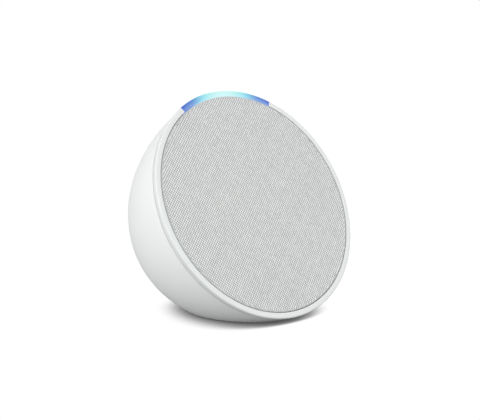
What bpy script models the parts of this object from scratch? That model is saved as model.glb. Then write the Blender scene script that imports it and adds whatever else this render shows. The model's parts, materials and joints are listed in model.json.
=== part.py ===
"""A compact smart speaker: a moulded dome whose round, fabric-covered face leans back.

Metres throughout, +Z up, +X to the right as seen from the front, and the face looks along -Y.
The origin is on the table, under the middle of the speaker. Everything turned is made in the
face frame: its origin is the middle of the face, its +Z points out of the face and its +Y
points up along the face, so a depth behind the face is a negative z.
"""

import math

import bmesh
import bpy
from mathutils import Matrix, Vector

MM = 0.001
GAP = 0.3 * MM  # between pieces that touch or locate each other

# The dome: an ellipse turned about the axis of the face, and cut flat underneath
FACE_TILT = math.radians(27)
DOME_RADIUS = 48.8 * MM
DOME_DEPTH = 62.6 * MM
BASE_CUT = 5.8 * MM
SHELL_WALL = 2.0 * MM
FLOOR_WALL = 2.0 * MM
DOME_SIDES = 48
DOME_ROWS = 12

# The rubber foot, glued in a shallow recess
FOOT_STAND = 0.8 * MM
FOOT_RECESS = 0.7 * MM
FOOT_MARGIN = 3.8 * MM

# The trim ring: a flange that closes the dome and a tongue that plugs into it
RING_PROUD = 0.7 * MM
RING_ROUND = 0.4 * MM
RING_LIP = 1.0 * MM
RING_SHOULDER = 1.7 * MM
RING_FLANGE = 3.0 * MM
RING_WIDTH = 2.3 * MM
RING_TONGUE = 2.2 * MM
REBATE_WALL = 0.9 * MM
TONGUE_WALL = 1.2 * MM
LEDGE_DEPTH = 2.2 * MM
LEDGE_WALL = 0.8 * MM
LEDGE_WIDTH = 2.3 * MM

# The light bar, centred at the top of the ring
LIGHT_SPAN = math.radians(58)
LENS_LEG = 1.1 * MM
GUIDE_WIDTH = 1.6 * MM
GUIDE_LENGTH = 3.0 * MM
LED_COUNT = 4
LED_SPACING = math.radians(14)
LED_SIZE = (3.0 * MM, 1.4 * MM, 1.6 * MM)
LED_BOARD_WALL = 0.8 * MM
LED_BOARD_WIDTH = 3.4 * MM

# The grille: knit fabric wrapped over a perforated carrier
FABRIC_WALL = 0.35 * MM
FRAME_FRONT = 0.65 * MM
FRAME_WALL = 1.25 * MM
WINDOW_RADIUS = 4.0 * MM
WINDOW_PITCH = 12.0 * MM
WINDOW_SIDES = 8

# The baffle that carries the loudspeaker, and the sealed chamber behind it
BAFFLE_DEPTH = 8.0 * MM
BAFFLE_WALL = 2.0 * MM
CHAMBER_WALL = 1.6 * MM
CHAMBER_FLANGE = 2.0 * MM
CHAMBER_FLANGE_WIDTH = 6.0 * MM
CHAMBER_BACK_RADIUS = 27.5 * MM
CHAMBER_AIR = 1.0 * MM
CHAMBER_CLEARANCE = 3.0 * MM

# The loudspeaker
DRIVER_RADIUS = 24.75 * MM
DRIVER_FLANGE = 1.0 * MM
GASKET_WALL = 0.5 * MM
BASKET_WALL = 1.2 * MM
BASKET_DEPTH = 13.0 * MM
BASKET_STEP = 3.0 * MM
BASKET_SEAT = 2.4 * MM
BASKET_WINDOW = 12.0 * MM
BASKET_WINDOW_WALL = 4.0 * MM
BASKET_WINDOW_DEPTH = 6.2 * MM
SURROUND_WIDTH = 3.0 * MM
SURROUND_LIFT = 1.2 * MM
SURROUND_WALL = 0.45 * MM
CONE_WALL = 0.5 * MM
CONE_DEPTH = 7.0 * MM
CONE_SET_BACK = 0.6 * MM
CONE_NECK_WIDTH = 3.0 * MM
CAP_RISE = 3.2 * MM
CAP_WIDTH = 2.4 * MM
COIL_RADIUS = 9.6 * MM
FORMER_WALL = 0.3 * MM
COIL_WALL = 0.5 * MM
COIL_LENGTH = 5.0 * MM
SPIDER_WALL = 0.5 * MM
SPIDER_DEPTH = 3.0 * MM
SPIDER_WAVE = 0.4 * MM
SPIDER_STEPS = 7
MOTOR_RADIUS = 16.0 * MM
TOP_PLATE_WALL = 2.0 * MM
MAGNET_WALL = 5.0 * MM
MAGNET_PROUD = 1.0 * MM
YOKE_WALL = 2.5 * MM

# The main board, held behind the chamber on posts
POST_LENGTH = 8.6 * MM
POST_RADIUS = 2.4 * MM
POST_DROP = 25.0 * MM
BOARD_WIDTH = 46.0 * MM
BOARD_HEIGHT = 36.0 * MM
BOARD_WALL = 1.2 * MM
BOARD_CORNER = 5.0 * MM
BOARD_INSET = 4.2 * MM
CAN_SIZE = (20.0 * MM, 16.0 * MM, 2.4 * MM)
PAD_WALL = 1.0 * MM
PAD_MARGIN = 2.0 * MM
SPREADER_SIZE = (27.0 * MM, 23.0 * MM, 1.5 * MM)
CAPACITOR_RADIUS = 3.1 * MM
CAPACITOR_HEIGHT = 7.0 * MM
CAPACITOR_SPREAD = 14.0 * MM
CAPACITOR_RISE = 5.0 * MM
LEAD_RADIUS = 0.8 * MM
LEAD_SHARE = 0.72  # of the chamber's back radius

# The buttons, on an arc across the top of the dome
BUTTON_DEPTH = 22.0 * MM
BUTTON_SPACING = 16.5 * MM
BUTTON_RADIUS = 4.6 * MM
BUTTON_PROUD = 0.25 * MM
BUTTON_TRAVEL = 0.4 * MM
BUTTON_FLANGE = 0.8 * MM
BUTTON_FLANGE_WIDTH = 1.0 * MM
BUTTON_STEM = 1.3 * MM
BUTTON_STEM_LENGTH = 0.5 * MM
SWITCH_RADIUS = 2.4 * MM
SWITCH_HEIGHT = 1.2 * MM
FLEX_WALL = 0.3 * MM
CARRIER_WALL = 1.8 * MM
CARRIER_BACK = 6.5 * MM
CARRIER_MARGIN = 6.5 * MM
TAIL_WIDTH = 8.0 * MM
MIC_HOLE = 0.6 * MM
MIC_FORWARD = 5.0 * MM
MIC_SIZE = (3.5 * MM, 2.7 * MM, 1.0 * MM)
MIC_MARGIN = 2.0 * MM

# The power inlet, low at the back, with a straight way in along +Y
INLET_HEIGHT = 17.0 * MM
INLET_RECESS = 2.7 * MM
INLET_COLLAR = 4.1 * MM
INLET_BORE = 3.1 * MM
INLET_PIN = 1.0 * MM
INLET_PIN_RECESS = 1.5 * MM
INLET_BODY = (9.0 * MM, 9.0 * MM, 8.0 * MM)
INLET_NOSE = 5.0 * MM
POWER_BOARD_MARGIN = 2.2 * MM
POWER_BOARD_LENGTH = 9.0 * MM
POWER_BOARD_WALL = 1.2 * MM
POWER_POST = 2.2 * MM

# Screws
SCREW_SHANK = 1.0 * MM
SCREW_HEAD = 2.0 * MM
SCREW_HEAD_HEIGHT = 1.3 * MM
SCREW_RECESS = 0.9 * MM
SCREW_LENGTH = 5.0 * MM
BASE_SCREW_LENGTH = 6.0 * MM
PILOT = SCREW_SHANK + GAP
PILOT_LENGTH = 6.0 * MM
SCREW_SIDES = 8
BASE_BOSS_RADIUS = 3.6 * MM
BASE_BOSS_HEIGHT = 2.5 * MM
BASE_PILOT_LENGTH = 3.4 * MM
FOOT_POST_RADIUS = 3.0 * MM
FOOT_POST_SINK = 1.2 * MM

SIN = math.sin(FACE_TILT)
COS = math.cos(FACE_TILT)


def dome_drop(inset=0.0):
    """How far the uncut dome reaches below the middle of the face."""
    return math.hypot((DOME_DEPTH - inset) * SIN, (DOME_RADIUS - inset) * COS)


def dome_reach(inset=0.0):
    """How far the dome reaches behind the middle of the face."""
    return math.hypot((DOME_DEPTH - inset) * COS, (DOME_RADIUS - inset) * SIN)


RIM_RADIUS = DOME_RADIUS + RING_PROUD
FACE_HEIGHT = dome_drop() - BASE_CUT + FOOT_STAND
FACE_Y = ((RIM_RADIUS - RING_ROUND) * SIN - dome_reach()) / 2
RECESS_TOP = FOOT_STAND + FOOT_RECESS
FLOOR_TOP = RECESS_TOP + FLOOR_WALL


def dome_radius(depth, inset=0.0):
    """Radius of the dome, or of a skin inset from it, at a depth behind the face."""
    return (DOME_RADIUS - inset) * math.sqrt(1 - (depth / (DOME_DEPTH - inset)) ** 2)


def dome_section(height, inset=0.0):
    """Half width, half length and middle of the dome's level section at a height."""
    radius = DOME_RADIUS - inset
    depth = DOME_DEPTH - inset
    below = FACE_HEIGHT - height
    drop = dome_drop(inset)
    share = math.sqrt(1 - (below / drop) ** 2)
    middle = FACE_Y + below * (depth**2 - radius**2) * SIN * COS / drop**2
    return radius * share, radius * depth / drop * share, middle


def dome_back(height, inset=0.0):
    """Where the dome's middle line is furthest back at a height above the table."""
    _, half_length, middle = dome_section(height, inset)
    return middle + half_length


def radius_over_floor(depth, clearance):
    """Largest disc at a depth behind the face that clears the floor inside the dome."""
    return (FACE_HEIGHT - depth * SIN - FLOOR_TOP - clearance) / COS


# --- Helpers ---------------------------------------------------------------------------------


def finish(name, colour, roughness, metallic=0.0):
    """A plain material; the colour is sRGB in hex."""
    material = bpy.data.materials.new(name)
    material.use_nodes = True
    shader = material.node_tree.nodes["Principled BSDF"]
    srgb = [int(colour[i : i + 2], 16) / 255 for i in (0, 2, 4)]
    linear = [c / 12.92 if c <= 0.04045 else ((c + 0.055) / 1.055) ** 2.4 for c in srgb]
    shader.inputs["Base Color"].default_value = (*linear, 1.0)
    shader.inputs["Roughness"].default_value = roughness
    shader.inputs["Metallic"].default_value = metallic
    return material


def piece(name, bm, material=None, parent=None):
    """An object from a bmesh, shaded smooth except at its corners."""
    bmesh.ops.recalc_face_normals(bm, faces=bm.faces)
    mesh = bpy.data.meshes.new(name)
    bm.to_mesh(mesh)
    bm.free()
    mesh.shade_smooth()
    mesh.set_sharp_from_angle(angle=math.radians(35))
    obj = bpy.data.objects.new(name, mesh)
    bpy.context.collection.objects.link(obj)
    obj.parent = parent
    if material:
        mesh.materials.append(material)
    return obj


def frame(name, matrix, parent=None):
    """An empty that holds a frame of reference."""
    empty = bpy.data.objects.new(name, None)
    bpy.context.collection.objects.link(empty)
    empty.parent = parent
    empty.matrix_local = matrix
    return empty


def turned(outline, sides=DOME_SIDES, start=0.0, sweep=None, bm=None):
    """A closed (radius, z) outline turned about Z; angles run from +Y towards +X."""
    bm = bm or bmesh.new()
    whole = sweep is None
    count = sides if whole else sides + 1
    step = (math.tau if whole else sweep) / sides
    rings = []
    for radius, z in outline:
        if radius == 0 and whole:
            rings.append([bm.verts.new((0, 0, z))] * count)
            continue
        angles = [start + i * step for i in range(count)]
        rings.append([bm.verts.new((radius * math.sin(a), radius * math.cos(a), z)) for a in angles])
    for this, following in zip(rings, rings[1:] + rings[:1]):
        for i in range(sides):
            j = (i + 1) % count
            corners = [this[i], this[j], following[j], following[i]]
            unique = list(dict.fromkeys(corners))
            if len(unique) > 2:
                bm.faces.new(unique)
    if not whole:
        bm.faces.new([ring[0] for ring in rings])
        bm.faces.new([ring[-1] for ring in rings])
    return bm


def disc(radius, low, high, sides=24, at=(0, 0), bm=None):
    """An upright cylinder, centred at a point of the XY plane."""
    bm = bm or bmesh.new()
    matrix = Matrix.Translation((at[0], at[1], (low + high) / 2))
    bmesh.ops.create_cone(
        bm, cap_ends=True, segments=sides, radius1=radius, radius2=radius, depth=high - low, matrix=matrix
    )
    return bm


def block(size, centre, bm=None):
    """A rectangular block."""
    bm = bm or bmesh.new()
    matrix = Matrix.Translation(centre) @ Matrix.Diagonal((*size, 1))
    bmesh.ops.create_cube(bm, size=1, matrix=matrix)
    return bm


def prism(outline, low, high):
    """An XY outline carried from one z to another."""
    bm = bmesh.new()
    bottom = bm.faces.new([bm.verts.new((x, y, low)) for x, y in outline])
    lifted = bmesh.ops.extrude_face_region(bm, geom=[bottom])["geom"]
    corners = [item for item in lifted if isinstance(item, bmesh.types.BMVert)]
    bmesh.ops.translate(bm, verts=corners, vec=(0, 0, high - low))
    return bm


def oval(half_x, half_y, middle_y, sides=DOME_SIDES):
    """Points round an ellipse in the XY plane."""
    turns = [math.tau * i / sides for i in range(sides)]
    return [(half_x * math.cos(t), middle_y + half_y * math.sin(t)) for t in turns]


def rounded_rectangle(width, height, corner, arc=4):
    """Points round a rectangle with round corners."""
    points = []
    for quarter, (sx, sy) in enumerate(((1, 1), (-1, 1), (-1, -1), (1, -1))):
        centre = (sx * (width / 2 - corner), sy * (height / 2 - corner))
        for i in range(arc + 1):
            turn = (quarter + i / arc) * math.pi / 2
            points.append((centre[0] + corner * math.cos(turn), centre[1] + corner * math.sin(turn)))
    return points


def combine(target, tool, operation):
    """A live Boolean with a hidden tool."""
    tool.hide_render = True
    tool.display_type = "WIRE"
    modifier = target.modifiers.new(tool.name, "BOOLEAN")
    modifier.operation = operation
    modifier.object = tool


def cut(target, name, bm, parent=None):
    """Cuts a shape out of an object."""
    combine(target, piece(name, bm, parent=parent), "DIFFERENCE")


def add(target, name, bm, parent=None):
    """Joins a shape to an object."""
    combine(target, piece(name, bm, parent=parent), "UNION")


def tube(name, points, radius, material, parent):
    """A wire of one thickness along a smooth curve through its points."""
    stations = [Vector(p) for p in points]
    ends = [2 * stations[0] - stations[1], *stations, 2 * stations[-1] - stations[-2]]
    path = []
    for a, b, c, d in zip(ends, ends[1:], ends[2:], ends[3:]):
        for i in range(4):
            t = i / 4
            smooth = 2 * b + (c - a) * t + (2 * a - 5 * b + 4 * c - d) * t**2
            path.append((smooth + (3 * b - a - 3 * c + d) * t**3) / 2)
    path.append(stations[-1])
    curve = bpy.data.curves.new(name, "CURVE")
    curve.dimensions = "3D"
    curve.bevel_depth = radius
    curve.bevel_resolution = 1
    curve.use_fill_caps = True
    spline = curve.splines.new("POLY")
    spline.points.add(len(path) - 1)
    for slot, point in zip(spline.points, path):
        slot.co = (*point, 1)
    curve.materials.append(material)
    obj = bpy.data.objects.new(name, curve)
    bpy.context.collection.objects.link(obj)
    obj.parent = parent
    return obj


for obj in list(bpy.data.objects):
    bpy.data.objects.remove(obj)

# Finishes
WHITE_ABS = finish("white_abs", "F1F1EF", 0.5)
GREY_KNIT = finish("light_grey_knit", "CCCDCC", 0.95)
BLACK_ABS = finish("black_abs", "2B2B2D", 0.6)
MILKY_PC = finish("milky_polycarbonate", "8FD0FF", 0.35)
CLEAR_PC = finish("clear_polycarbonate", "E8F1F4", 0.15)
RUBBER = finish("white_silicone_rubber", "D9D9D6", 0.85)
BLACK_RUBBER = finish("black_rubber", "1B1B1C", 0.8)
PAPER = finish("black_paper_cone", "232323", 0.9)
RESIN_CLOTH = finish("resin_cloth", "B98B3C", 0.85)
KAPTON = finish("polyimide_film", "B7702A", 0.35)
COPPER = finish("copper_wire", "B87333", 0.35, 1.0)
STEEL = finish("zinc_plated_steel", "B9BABC", 0.35, 1.0)
FERRITE = finish("ferrite", "3A3A3C", 0.7)
ALUMINIUM = finish("aluminium", "C9CBCD", 0.4, 1.0)
GREEN_BOARD = finish("green_circuit_board", "1F5A38", 0.45)
TINPLATE = finish("tinplate", "C4C6C8", 0.3, 1.0)
GREY_PAD = finish("grey_thermal_pad", "8C9096", 0.9)
FOAM = finish("black_foam", "222224", 0.95)
LED_WHITE = finish("led_package", "F4F2D8", 0.4)
NICKEL = finish("nickel_plate", "D5D3CC", 0.25, 1.0)

# The face frame: local +Z out of the face, local +Y up along it
tilt = Matrix.Rotation(math.pi / 2 - FACE_TILT, 4, "X")
FACE = frame("face_frame", Matrix.Translation((0, FACE_Y, FACE_HEIGHT)) @ tilt)


def height_of(y, z):
    """Height above the table of a point of the face frame."""
    return FACE_HEIGHT + y * COS + z * SIN


def level_point(y, z):
    """World y of a point of the face frame."""
    return FACE_Y + y * SIN - z * COS


# --- Rear shell ------------------------------------------------------------------------------

SHELL_FRONT = RING_FLANGE + GAP
REBATE_RADIUS = DOME_RADIUS - REBATE_WALL
REBATE_DEPTH = RING_FLANGE + RING_TONGUE + GAP


def dome_outline(front, inset):
    """Half of the dome's section, from the face axis at the front round to the back."""
    radius = DOME_RADIUS - inset
    depth = DOME_DEPTH - inset
    first = math.asin(front / depth)
    rows = [first + (math.pi / 2 - first) * i / DOME_ROWS for i in range(DOME_ROWS)]
    curve = [(radius * math.cos(t), -depth * math.sin(t)) for t in rows]
    return [(0, -front), *curve, (0, -depth)]


def level_block(low, high):
    """A block wider than the speaker between two heights."""
    side = 4 * DOME_DEPTH
    return block((side, side, high - low), (0, 0, (low + high) / 2))


BOSS_TOP = FLOOR_TOP + BASE_BOSS_HEIGHT
COUNTERBORE = SCREW_HEAD + GAP
COUNTERBORE_TOP = RECESS_TOP + SCREW_HEAD_HEIGHT + 2 * GAP


def chamber_wall_point(share):
    """A point on the chamber's underside, from its flange (0) to its back (1)."""
    y = -(CHAMBER_FRONT_RADIUS + (CHAMBER_BACK_RADIUS - CHAMBER_FRONT_RADIUS) * share)
    z = -(CHAMBER_FLANGE_BACK + (CHAMBER_BACK - CHAMBER_FLANGE_BACK) * share)
    return level_point(y, z), height_of(y, z)


# Depths behind the face, from the front of the baffle to the back of the board
BAFFLE_BACK = BAFFLE_DEPTH + BAFFLE_WALL
CHAMBER_FRONT = BAFFLE_BACK + GAP
CHAMBER_FLANGE_BACK = CHAMBER_FRONT + CHAMBER_FLANGE
TONGUE_BACK = RING_FLANGE + RING_TONGUE
GUIDE_FRONT = TONGUE_BACK + GAP
GUIDE_BACK = GUIDE_FRONT + GUIDE_LENGTH
LED_BACK = GUIDE_BACK + GAP + LED_SIZE[2]
LED_BOARD_FRONT = LED_BACK + GAP
LED_BOARD_BACK = LED_BOARD_FRONT + LED_BOARD_WALL

# What lights the bar follows the dome's inside, and the baffle and chamber pass inside it
GUIDE_OUTER = dome_radius(TONGUE_BACK + GUIDE_LENGTH, SHELL_WALL) - GAP
GUIDE_INNER = GUIDE_OUTER - GUIDE_WIDTH
LED_RADIUS = dome_radius(LED_BACK, SHELL_WALL) - 2 * GAP - LED_SIZE[1] / 2
LED_BOARD_OUTER = dome_radius(LED_BOARD_BACK, SHELL_WALL) - GAP
LED_BOARD_INNER = LED_BOARD_OUTER - LED_BOARD_WIDTH
BAFFLE_RADIUS = min(
    radius_over_floor(BAFFLE_BACK, 2 * GAP),
    dome_radius(BAFFLE_BACK, SHELL_WALL) - 2 * GAP,
    GUIDE_INNER - GAP,
    LED_RADIUS - LED_SIZE[1] / 2 - GAP,
)
CHAMBER_RADIUS = min(
    radius_over_floor(CHAMBER_FLANGE_BACK, 2 * GAP),
    dome_radius(CHAMBER_FLANGE_BACK, SHELL_WALL) - CHAMBER_CLEARANCE,
    LED_BOARD_INNER - GAP,
)
CHAMBER_FRONT_RADIUS = CHAMBER_RADIUS - CHAMBER_FLANGE_WIDTH
FLANGE_BACK = BAFFLE_DEPTH - 2 * GAP - GASKET_WALL
FLANGE_FRONT = FLANGE_BACK - DRIVER_FLANGE
BASKET_BACK = FLANGE_BACK + BASKET_DEPTH
TOP_PLATE_FRONT = BASKET_BACK + GAP
MAGNET_FRONT = TOP_PLATE_FRONT + TOP_PLATE_WALL + GAP
YOKE_FRONT = MAGNET_FRONT + MAGNET_WALL + GAP
YOKE_BACK = YOKE_FRONT + YOKE_WALL
CHAMBER_BACK = YOKE_BACK + CHAMBER_AIR + CHAMBER_WALL
POST_BACK = CHAMBER_BACK + POST_LENGTH
BOARD_FRONT = POST_BACK + GAP
BOARD_BACK = BOARD_FRONT + BOARD_WALL

BASE_SCREWS = []
for across, share in ((0.0, 0.2), (-10.0 * MM, 0.85), (10.0 * MM, 0.85)):
    screw_y, screw_top = chamber_wall_point(share)
    BASE_SCREWS.append((across, screw_y, screw_top))

# Power inlet positions along Y
INLET_MOUTH = dome_back(INLET_HEIGHT) - INLET_RECESS
INLET_BODY_BACK = INLET_MOUTH - INLET_NOSE
INLET_BODY_FRONT = INLET_BODY_BACK - INLET_BODY[1]
POWER_BOARD_TOP = INLET_HEIGHT - INLET_BODY[2] / 2 - GAP
POWER_BOARD_BACK = POWER_BOARD_TOP - POWER_BOARD_WALL
POWER_SCREW_X = INLET_BODY[0] / 2 + SCREW_HEAD + GAP
POWER_BOARD_WIDTH = 2 * (POWER_SCREW_X + POWER_BOARD_MARGIN)
power_half_x, power_half_y, power_section = dome_section(POWER_BOARD_BACK, SHELL_WALL)
power_share = math.sqrt(1 - (POWER_BOARD_WIDTH / 2 / power_half_x) ** 2)
POWER_BOARD_Y = power_section + power_half_y * power_share - POWER_BOARD_LENGTH / 2 - 2 * GAP
POWER_SCREWS = [(side * POWER_SCREW_X, POWER_BOARD_Y) for side in (-1, 1)]


def rear_shell():
    """The moulded dome: outer skin, flat floor, bosses, posts and every hole through it."""
    shell = piece("rear_shell", turned(dome_outline(SHELL_FRONT, 0)), WHITE_ABS, FACE)
    cut(shell, "base_plane", level_block(-DOME_DEPTH, FOOT_STAND))
    cavity = piece("shell_cavity", turned(dome_outline(0, SHELL_WALL)), parent=FACE)
    cut(cavity, "floor_block", level_block(-DOME_DEPTH, FLOOR_TOP))
    for number, (x, y, _) in enumerate(BASE_SCREWS, 1):
        cut(cavity, f"base_boss_{number}", disc(BASE_BOSS_RADIUS, -GAP, BOSS_TOP, 12, (x, y)))
    for number, (x, y) in enumerate(POWER_SCREWS, 1):
        post = disc(POWER_POST, -GAP, POWER_BOARD_BACK - GAP, 10, (x, y))
        cut(cavity, f"power_post_{number}", post)
    combine(shell, cavity, "DIFFERENCE")
    cut(shell, "tongue_rebate", disc(REBATE_RADIUS, -REBATE_DEPTH, 0, DOME_SIDES), FACE)
    half_x, half_y, middle = dome_section(FOOT_STAND)
    recess = oval(half_x - FOOT_MARGIN + GAP, half_y - FOOT_MARGIN + GAP, middle, 40)
    cut(shell, "foot_recess", prism(recess, -MM, RECESS_TOP))
    for number, (x, y, _) in enumerate(BASE_SCREWS, 1):
        cut(shell, f"counterbore_{number}", disc(COUNTERBORE, 0, COUNTERBORE_TOP, 10, (x, y)))
        cut(shell, f"base_screw_hole_{number}", disc(PILOT, 0, 2 * BOSS_TOP, 8, (x, y)))
    for number, (x, y) in enumerate(POWER_SCREWS, 1):
        pilot = disc(PILOT, POWER_BOARD_BACK - PILOT_LENGTH, POWER_BOARD_BACK, 8, (x, y))
        cut(shell, f"power_pilot_{number}", pilot)
    collar_way = frame("inlet_way", inlet_matrix())
    cut(shell, "inlet_hole", disc(INLET_COLLAR + GAP, -INLET_BODY[1], 2 * INLET_BODY[1], 24), collar_way)
    return shell


def inlet_matrix():
    """The inlet's frame: +Z out of the socket, origin in its mouth."""
    return Matrix.Translation((0, INLET_MOUTH, INLET_HEIGHT)) @ Matrix.Rotation(-math.pi / 2, 4, "X")


SHELL = rear_shell()

# Rubber foot
foot_half_x, foot_half_y, foot_middle = dome_section(FOOT_STAND)
foot_outline = oval(foot_half_x - FOOT_MARGIN, foot_half_y - FOOT_MARGIN, foot_middle, 40)
piece("rubber_foot", prism(foot_outline, 0, RECESS_TOP - GAP), RUBBER)

# --- Trim ring, light bar and grille ---------------------------------------------------------

FABRIC_RECESS = RIM_RADIUS - RING_WIDTH + GAP
FABRIC_RADIUS = FABRIC_RECESS - GAP
TONGUE_RADIUS = REBATE_RADIUS - GAP
RING_INNER = FABRIC_RECESS - LEDGE_WIDTH
LEDGE_BACK = LEDGE_DEPTH + LEDGE_WALL

def rim_outline(inner):
    """The outer skin of the rim, from the front edge of the fabric recess to its underside."""
    corner = (RIM_RADIUS - RING_ROUND, -RING_ROUND)
    turns = [math.pi / 2 * i / 2 for i in range(3)]
    rounding = [(corner[0] + RING_ROUND * math.sin(t), corner[1] + RING_ROUND * math.cos(t)) for t in turns]
    return [
        (inner, 0),
        *rounding,
        (RIM_RADIUS, -RING_LIP),
        (dome_radius(RING_SHOULDER), -RING_SHOULDER),
        (dome_radius(RING_FLANGE), -RING_FLANGE),
    ]


ring_outline = [
    *rim_outline(FABRIC_RECESS),
    (TONGUE_RADIUS, -RING_FLANGE),
    (TONGUE_RADIUS, -TONGUE_BACK),
    (TONGUE_RADIUS - TONGUE_WALL, -TONGUE_BACK),
    (TONGUE_RADIUS - TONGUE_WALL, -LEDGE_BACK),
    (RING_INNER, -LEDGE_BACK),
    (RING_INNER, -LEDGE_DEPTH),
    (FABRIC_RECESS, -LEDGE_DEPTH),
]
ring = piece("trim_ring", turned(ring_outline), WHITE_ABS, FACE)

SLOT_RADIUS = TONGUE_RADIUS - LENS_LEG - GAP
slot_angle = GAP / RIM_RADIUS
slot_outline = [
    (SLOT_RADIUS, 2 * MM),
    (RIM_RADIUS + 2 * MM, 2 * MM),
    (RIM_RADIUS + 2 * MM, -TONGUE_BACK - MM),
    (SLOT_RADIUS, -TONGUE_BACK - MM),
]
slot_start = -LIGHT_SPAN / 2 - slot_angle
slot_sweep = LIGHT_SPAN + 2 * slot_angle
cut(ring, "light_slot", turned(slot_outline, 14, slot_start, slot_sweep), FACE)

lens_outline = [
    *rim_outline(FABRIC_RECESS),
    (TONGUE_RADIUS, -RING_FLANGE),
    (TONGUE_RADIUS, -TONGUE_BACK + GAP),
    (TONGUE_RADIUS - LENS_LEG, -TONGUE_BACK + GAP),
    (TONGUE_RADIUS - LENS_LEG, -LEDGE_DEPTH),
    (FABRIC_RECESS, -LEDGE_DEPTH),
]
lens = turned(lens_outline, 14, -LIGHT_SPAN / 2, LIGHT_SPAN)
piece("light_bar_lens", lens, MILKY_PC, FACE)

guide_outline = [
    (GUIDE_OUTER, -GUIDE_FRONT),
    (GUIDE_OUTER, -GUIDE_BACK),
    (GUIDE_INNER, -GUIDE_BACK),
    (GUIDE_INNER, -GUIDE_FRONT),
]
piece("light_guide", turned(guide_outline, 12, -LIGHT_SPAN / 2, LIGHT_SPAN), CLEAR_PC, FACE)

for number in range(1, LED_COUNT + 1):
    turn = (number - (LED_COUNT + 1) / 2) * LED_SPACING
    spot = frame(f"led_{number}_frame", Matrix.Rotation(-turn, 4, "Z"), FACE)
    middle = (0, LED_RADIUS, -GUIDE_BACK - GAP - LED_SIZE[2] / 2)
    piece(f"led_{number}", block(LED_SIZE, middle), LED_WHITE, spot)

led_board_outline = [
    (LED_BOARD_OUTER, -LED_BOARD_FRONT),
    (LED_BOARD_OUTER, -LED_BOARD_BACK),
    (LED_BOARD_INNER, -LED_BOARD_BACK),
    (LED_BOARD_INNER, -LED_BOARD_FRONT),
]
piece("led_board", turned(led_board_outline, 12, -LIGHT_SPAN / 2, LIGHT_SPAN), GREEN_BOARD, FACE)

FRAME_BACK = FRAME_FRONT + FRAME_WALL
FRAME_RADIUS = FABRIC_RADIUS - FABRIC_WALL - GAP
fabric_outline = [
    (0, 0),
    (FABRIC_RADIUS - FABRIC_WALL, 0),
    (FABRIC_RADIUS, -FABRIC_WALL),
    (FABRIC_RADIUS, -FRAME_BACK),
    (FABRIC_RADIUS - FABRIC_WALL, -FRAME_BACK),
    (FABRIC_RADIUS - FABRIC_WALL, -FABRIC_WALL),
    (0, -FABRIC_WALL),
]
piece("grille_fabric", turned(fabric_outline), GREY_KNIT, FACE)

grille = piece("grille_frame", disc(FRAME_RADIUS, -FRAME_BACK, -FRAME_FRONT, DOME_SIDES), BLACK_ABS, FACE)
windows = bmesh.new()
WINDOW_RINGS = int((FRAME_RADIUS - WINDOW_RADIUS - MM) / WINDOW_PITCH)
for ring_number in range(WINDOW_RINGS + 1):
    count = max(1, 6 * ring_number)
    for i in range(count):
        turn = math.tau * i / count
        spot = (WINDOW_PITCH * ring_number * math.sin(turn), WINDOW_PITCH * ring_number * math.cos(turn))
        disc(WINDOW_RADIUS, -2 * FRAME_BACK, FRAME_BACK, WINDOW_SIDES, spot, windows)
cut(grille, "grille_windows", windows, FACE)

# --- Baffle and acoustic chamber -------------------------------------------------------------

BASKET_RADIUS = DRIVER_RADIUS - BASKET_SEAT
BAFFLE_BORE = BASKET_RADIUS + 2 * GAP
CHASSIS_SCREW_RING = CHAMBER_RADIUS - SCREW_HEAD - GAP
DRIVER_SCREW_RING = DRIVER_RADIUS + SCREW_SHANK + 2 * GAP
QUARTERS = [math.radians(45 + 90 * i) for i in range(4)]


def around(radius, turn):
    """A point on a circle about the face axis."""
    return radius * math.sin(turn), radius * math.cos(turn)


def screw(name, at, head_base, length, parent, direction=1):
    """A pan-head screw whose head starts at head_base and whose shank runs the other way."""
    top = head_base + direction * SCREW_HEAD_HEIGHT
    outline = [
        (0, top - direction * SCREW_RECESS),
        (SCREW_HEAD / 2, top),
        (SCREW_HEAD, top - direction * SCREW_HEAD_HEIGHT / 3),
        (SCREW_HEAD, head_base),
        (SCREW_SHANK, head_base),
        (SCREW_SHANK, head_base - direction * length),
        (0, head_base - direction * length),
    ]
    spot = frame(f"{name}_frame", Matrix.Translation((*at, 0)), parent)
    return piece(name, turned(outline, SCREW_SIDES), STEEL, spot)


baffle_outline = [
    (BAFFLE_BORE, -BAFFLE_DEPTH),
    (BAFFLE_RADIUS, -BAFFLE_DEPTH),
    (BAFFLE_RADIUS, -BAFFLE_BACK),
    (BAFFLE_BORE, -BAFFLE_BACK),
]
baffle = piece("front_baffle", turned(baffle_outline, 40), BLACK_ABS, FACE)
baffle_holes = bmesh.new()
for turn in QUARTERS:
    disc(PILOT, -2 * BAFFLE_BACK, 0, 8, around(CHASSIS_SCREW_RING, turn), baffle_holes)
    disc(PILOT, -2 * BAFFLE_BACK, 0, 8, around(DRIVER_SCREW_RING, turn), baffle_holes)
cut(baffle, "baffle_screw_holes", baffle_holes, FACE)

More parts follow.
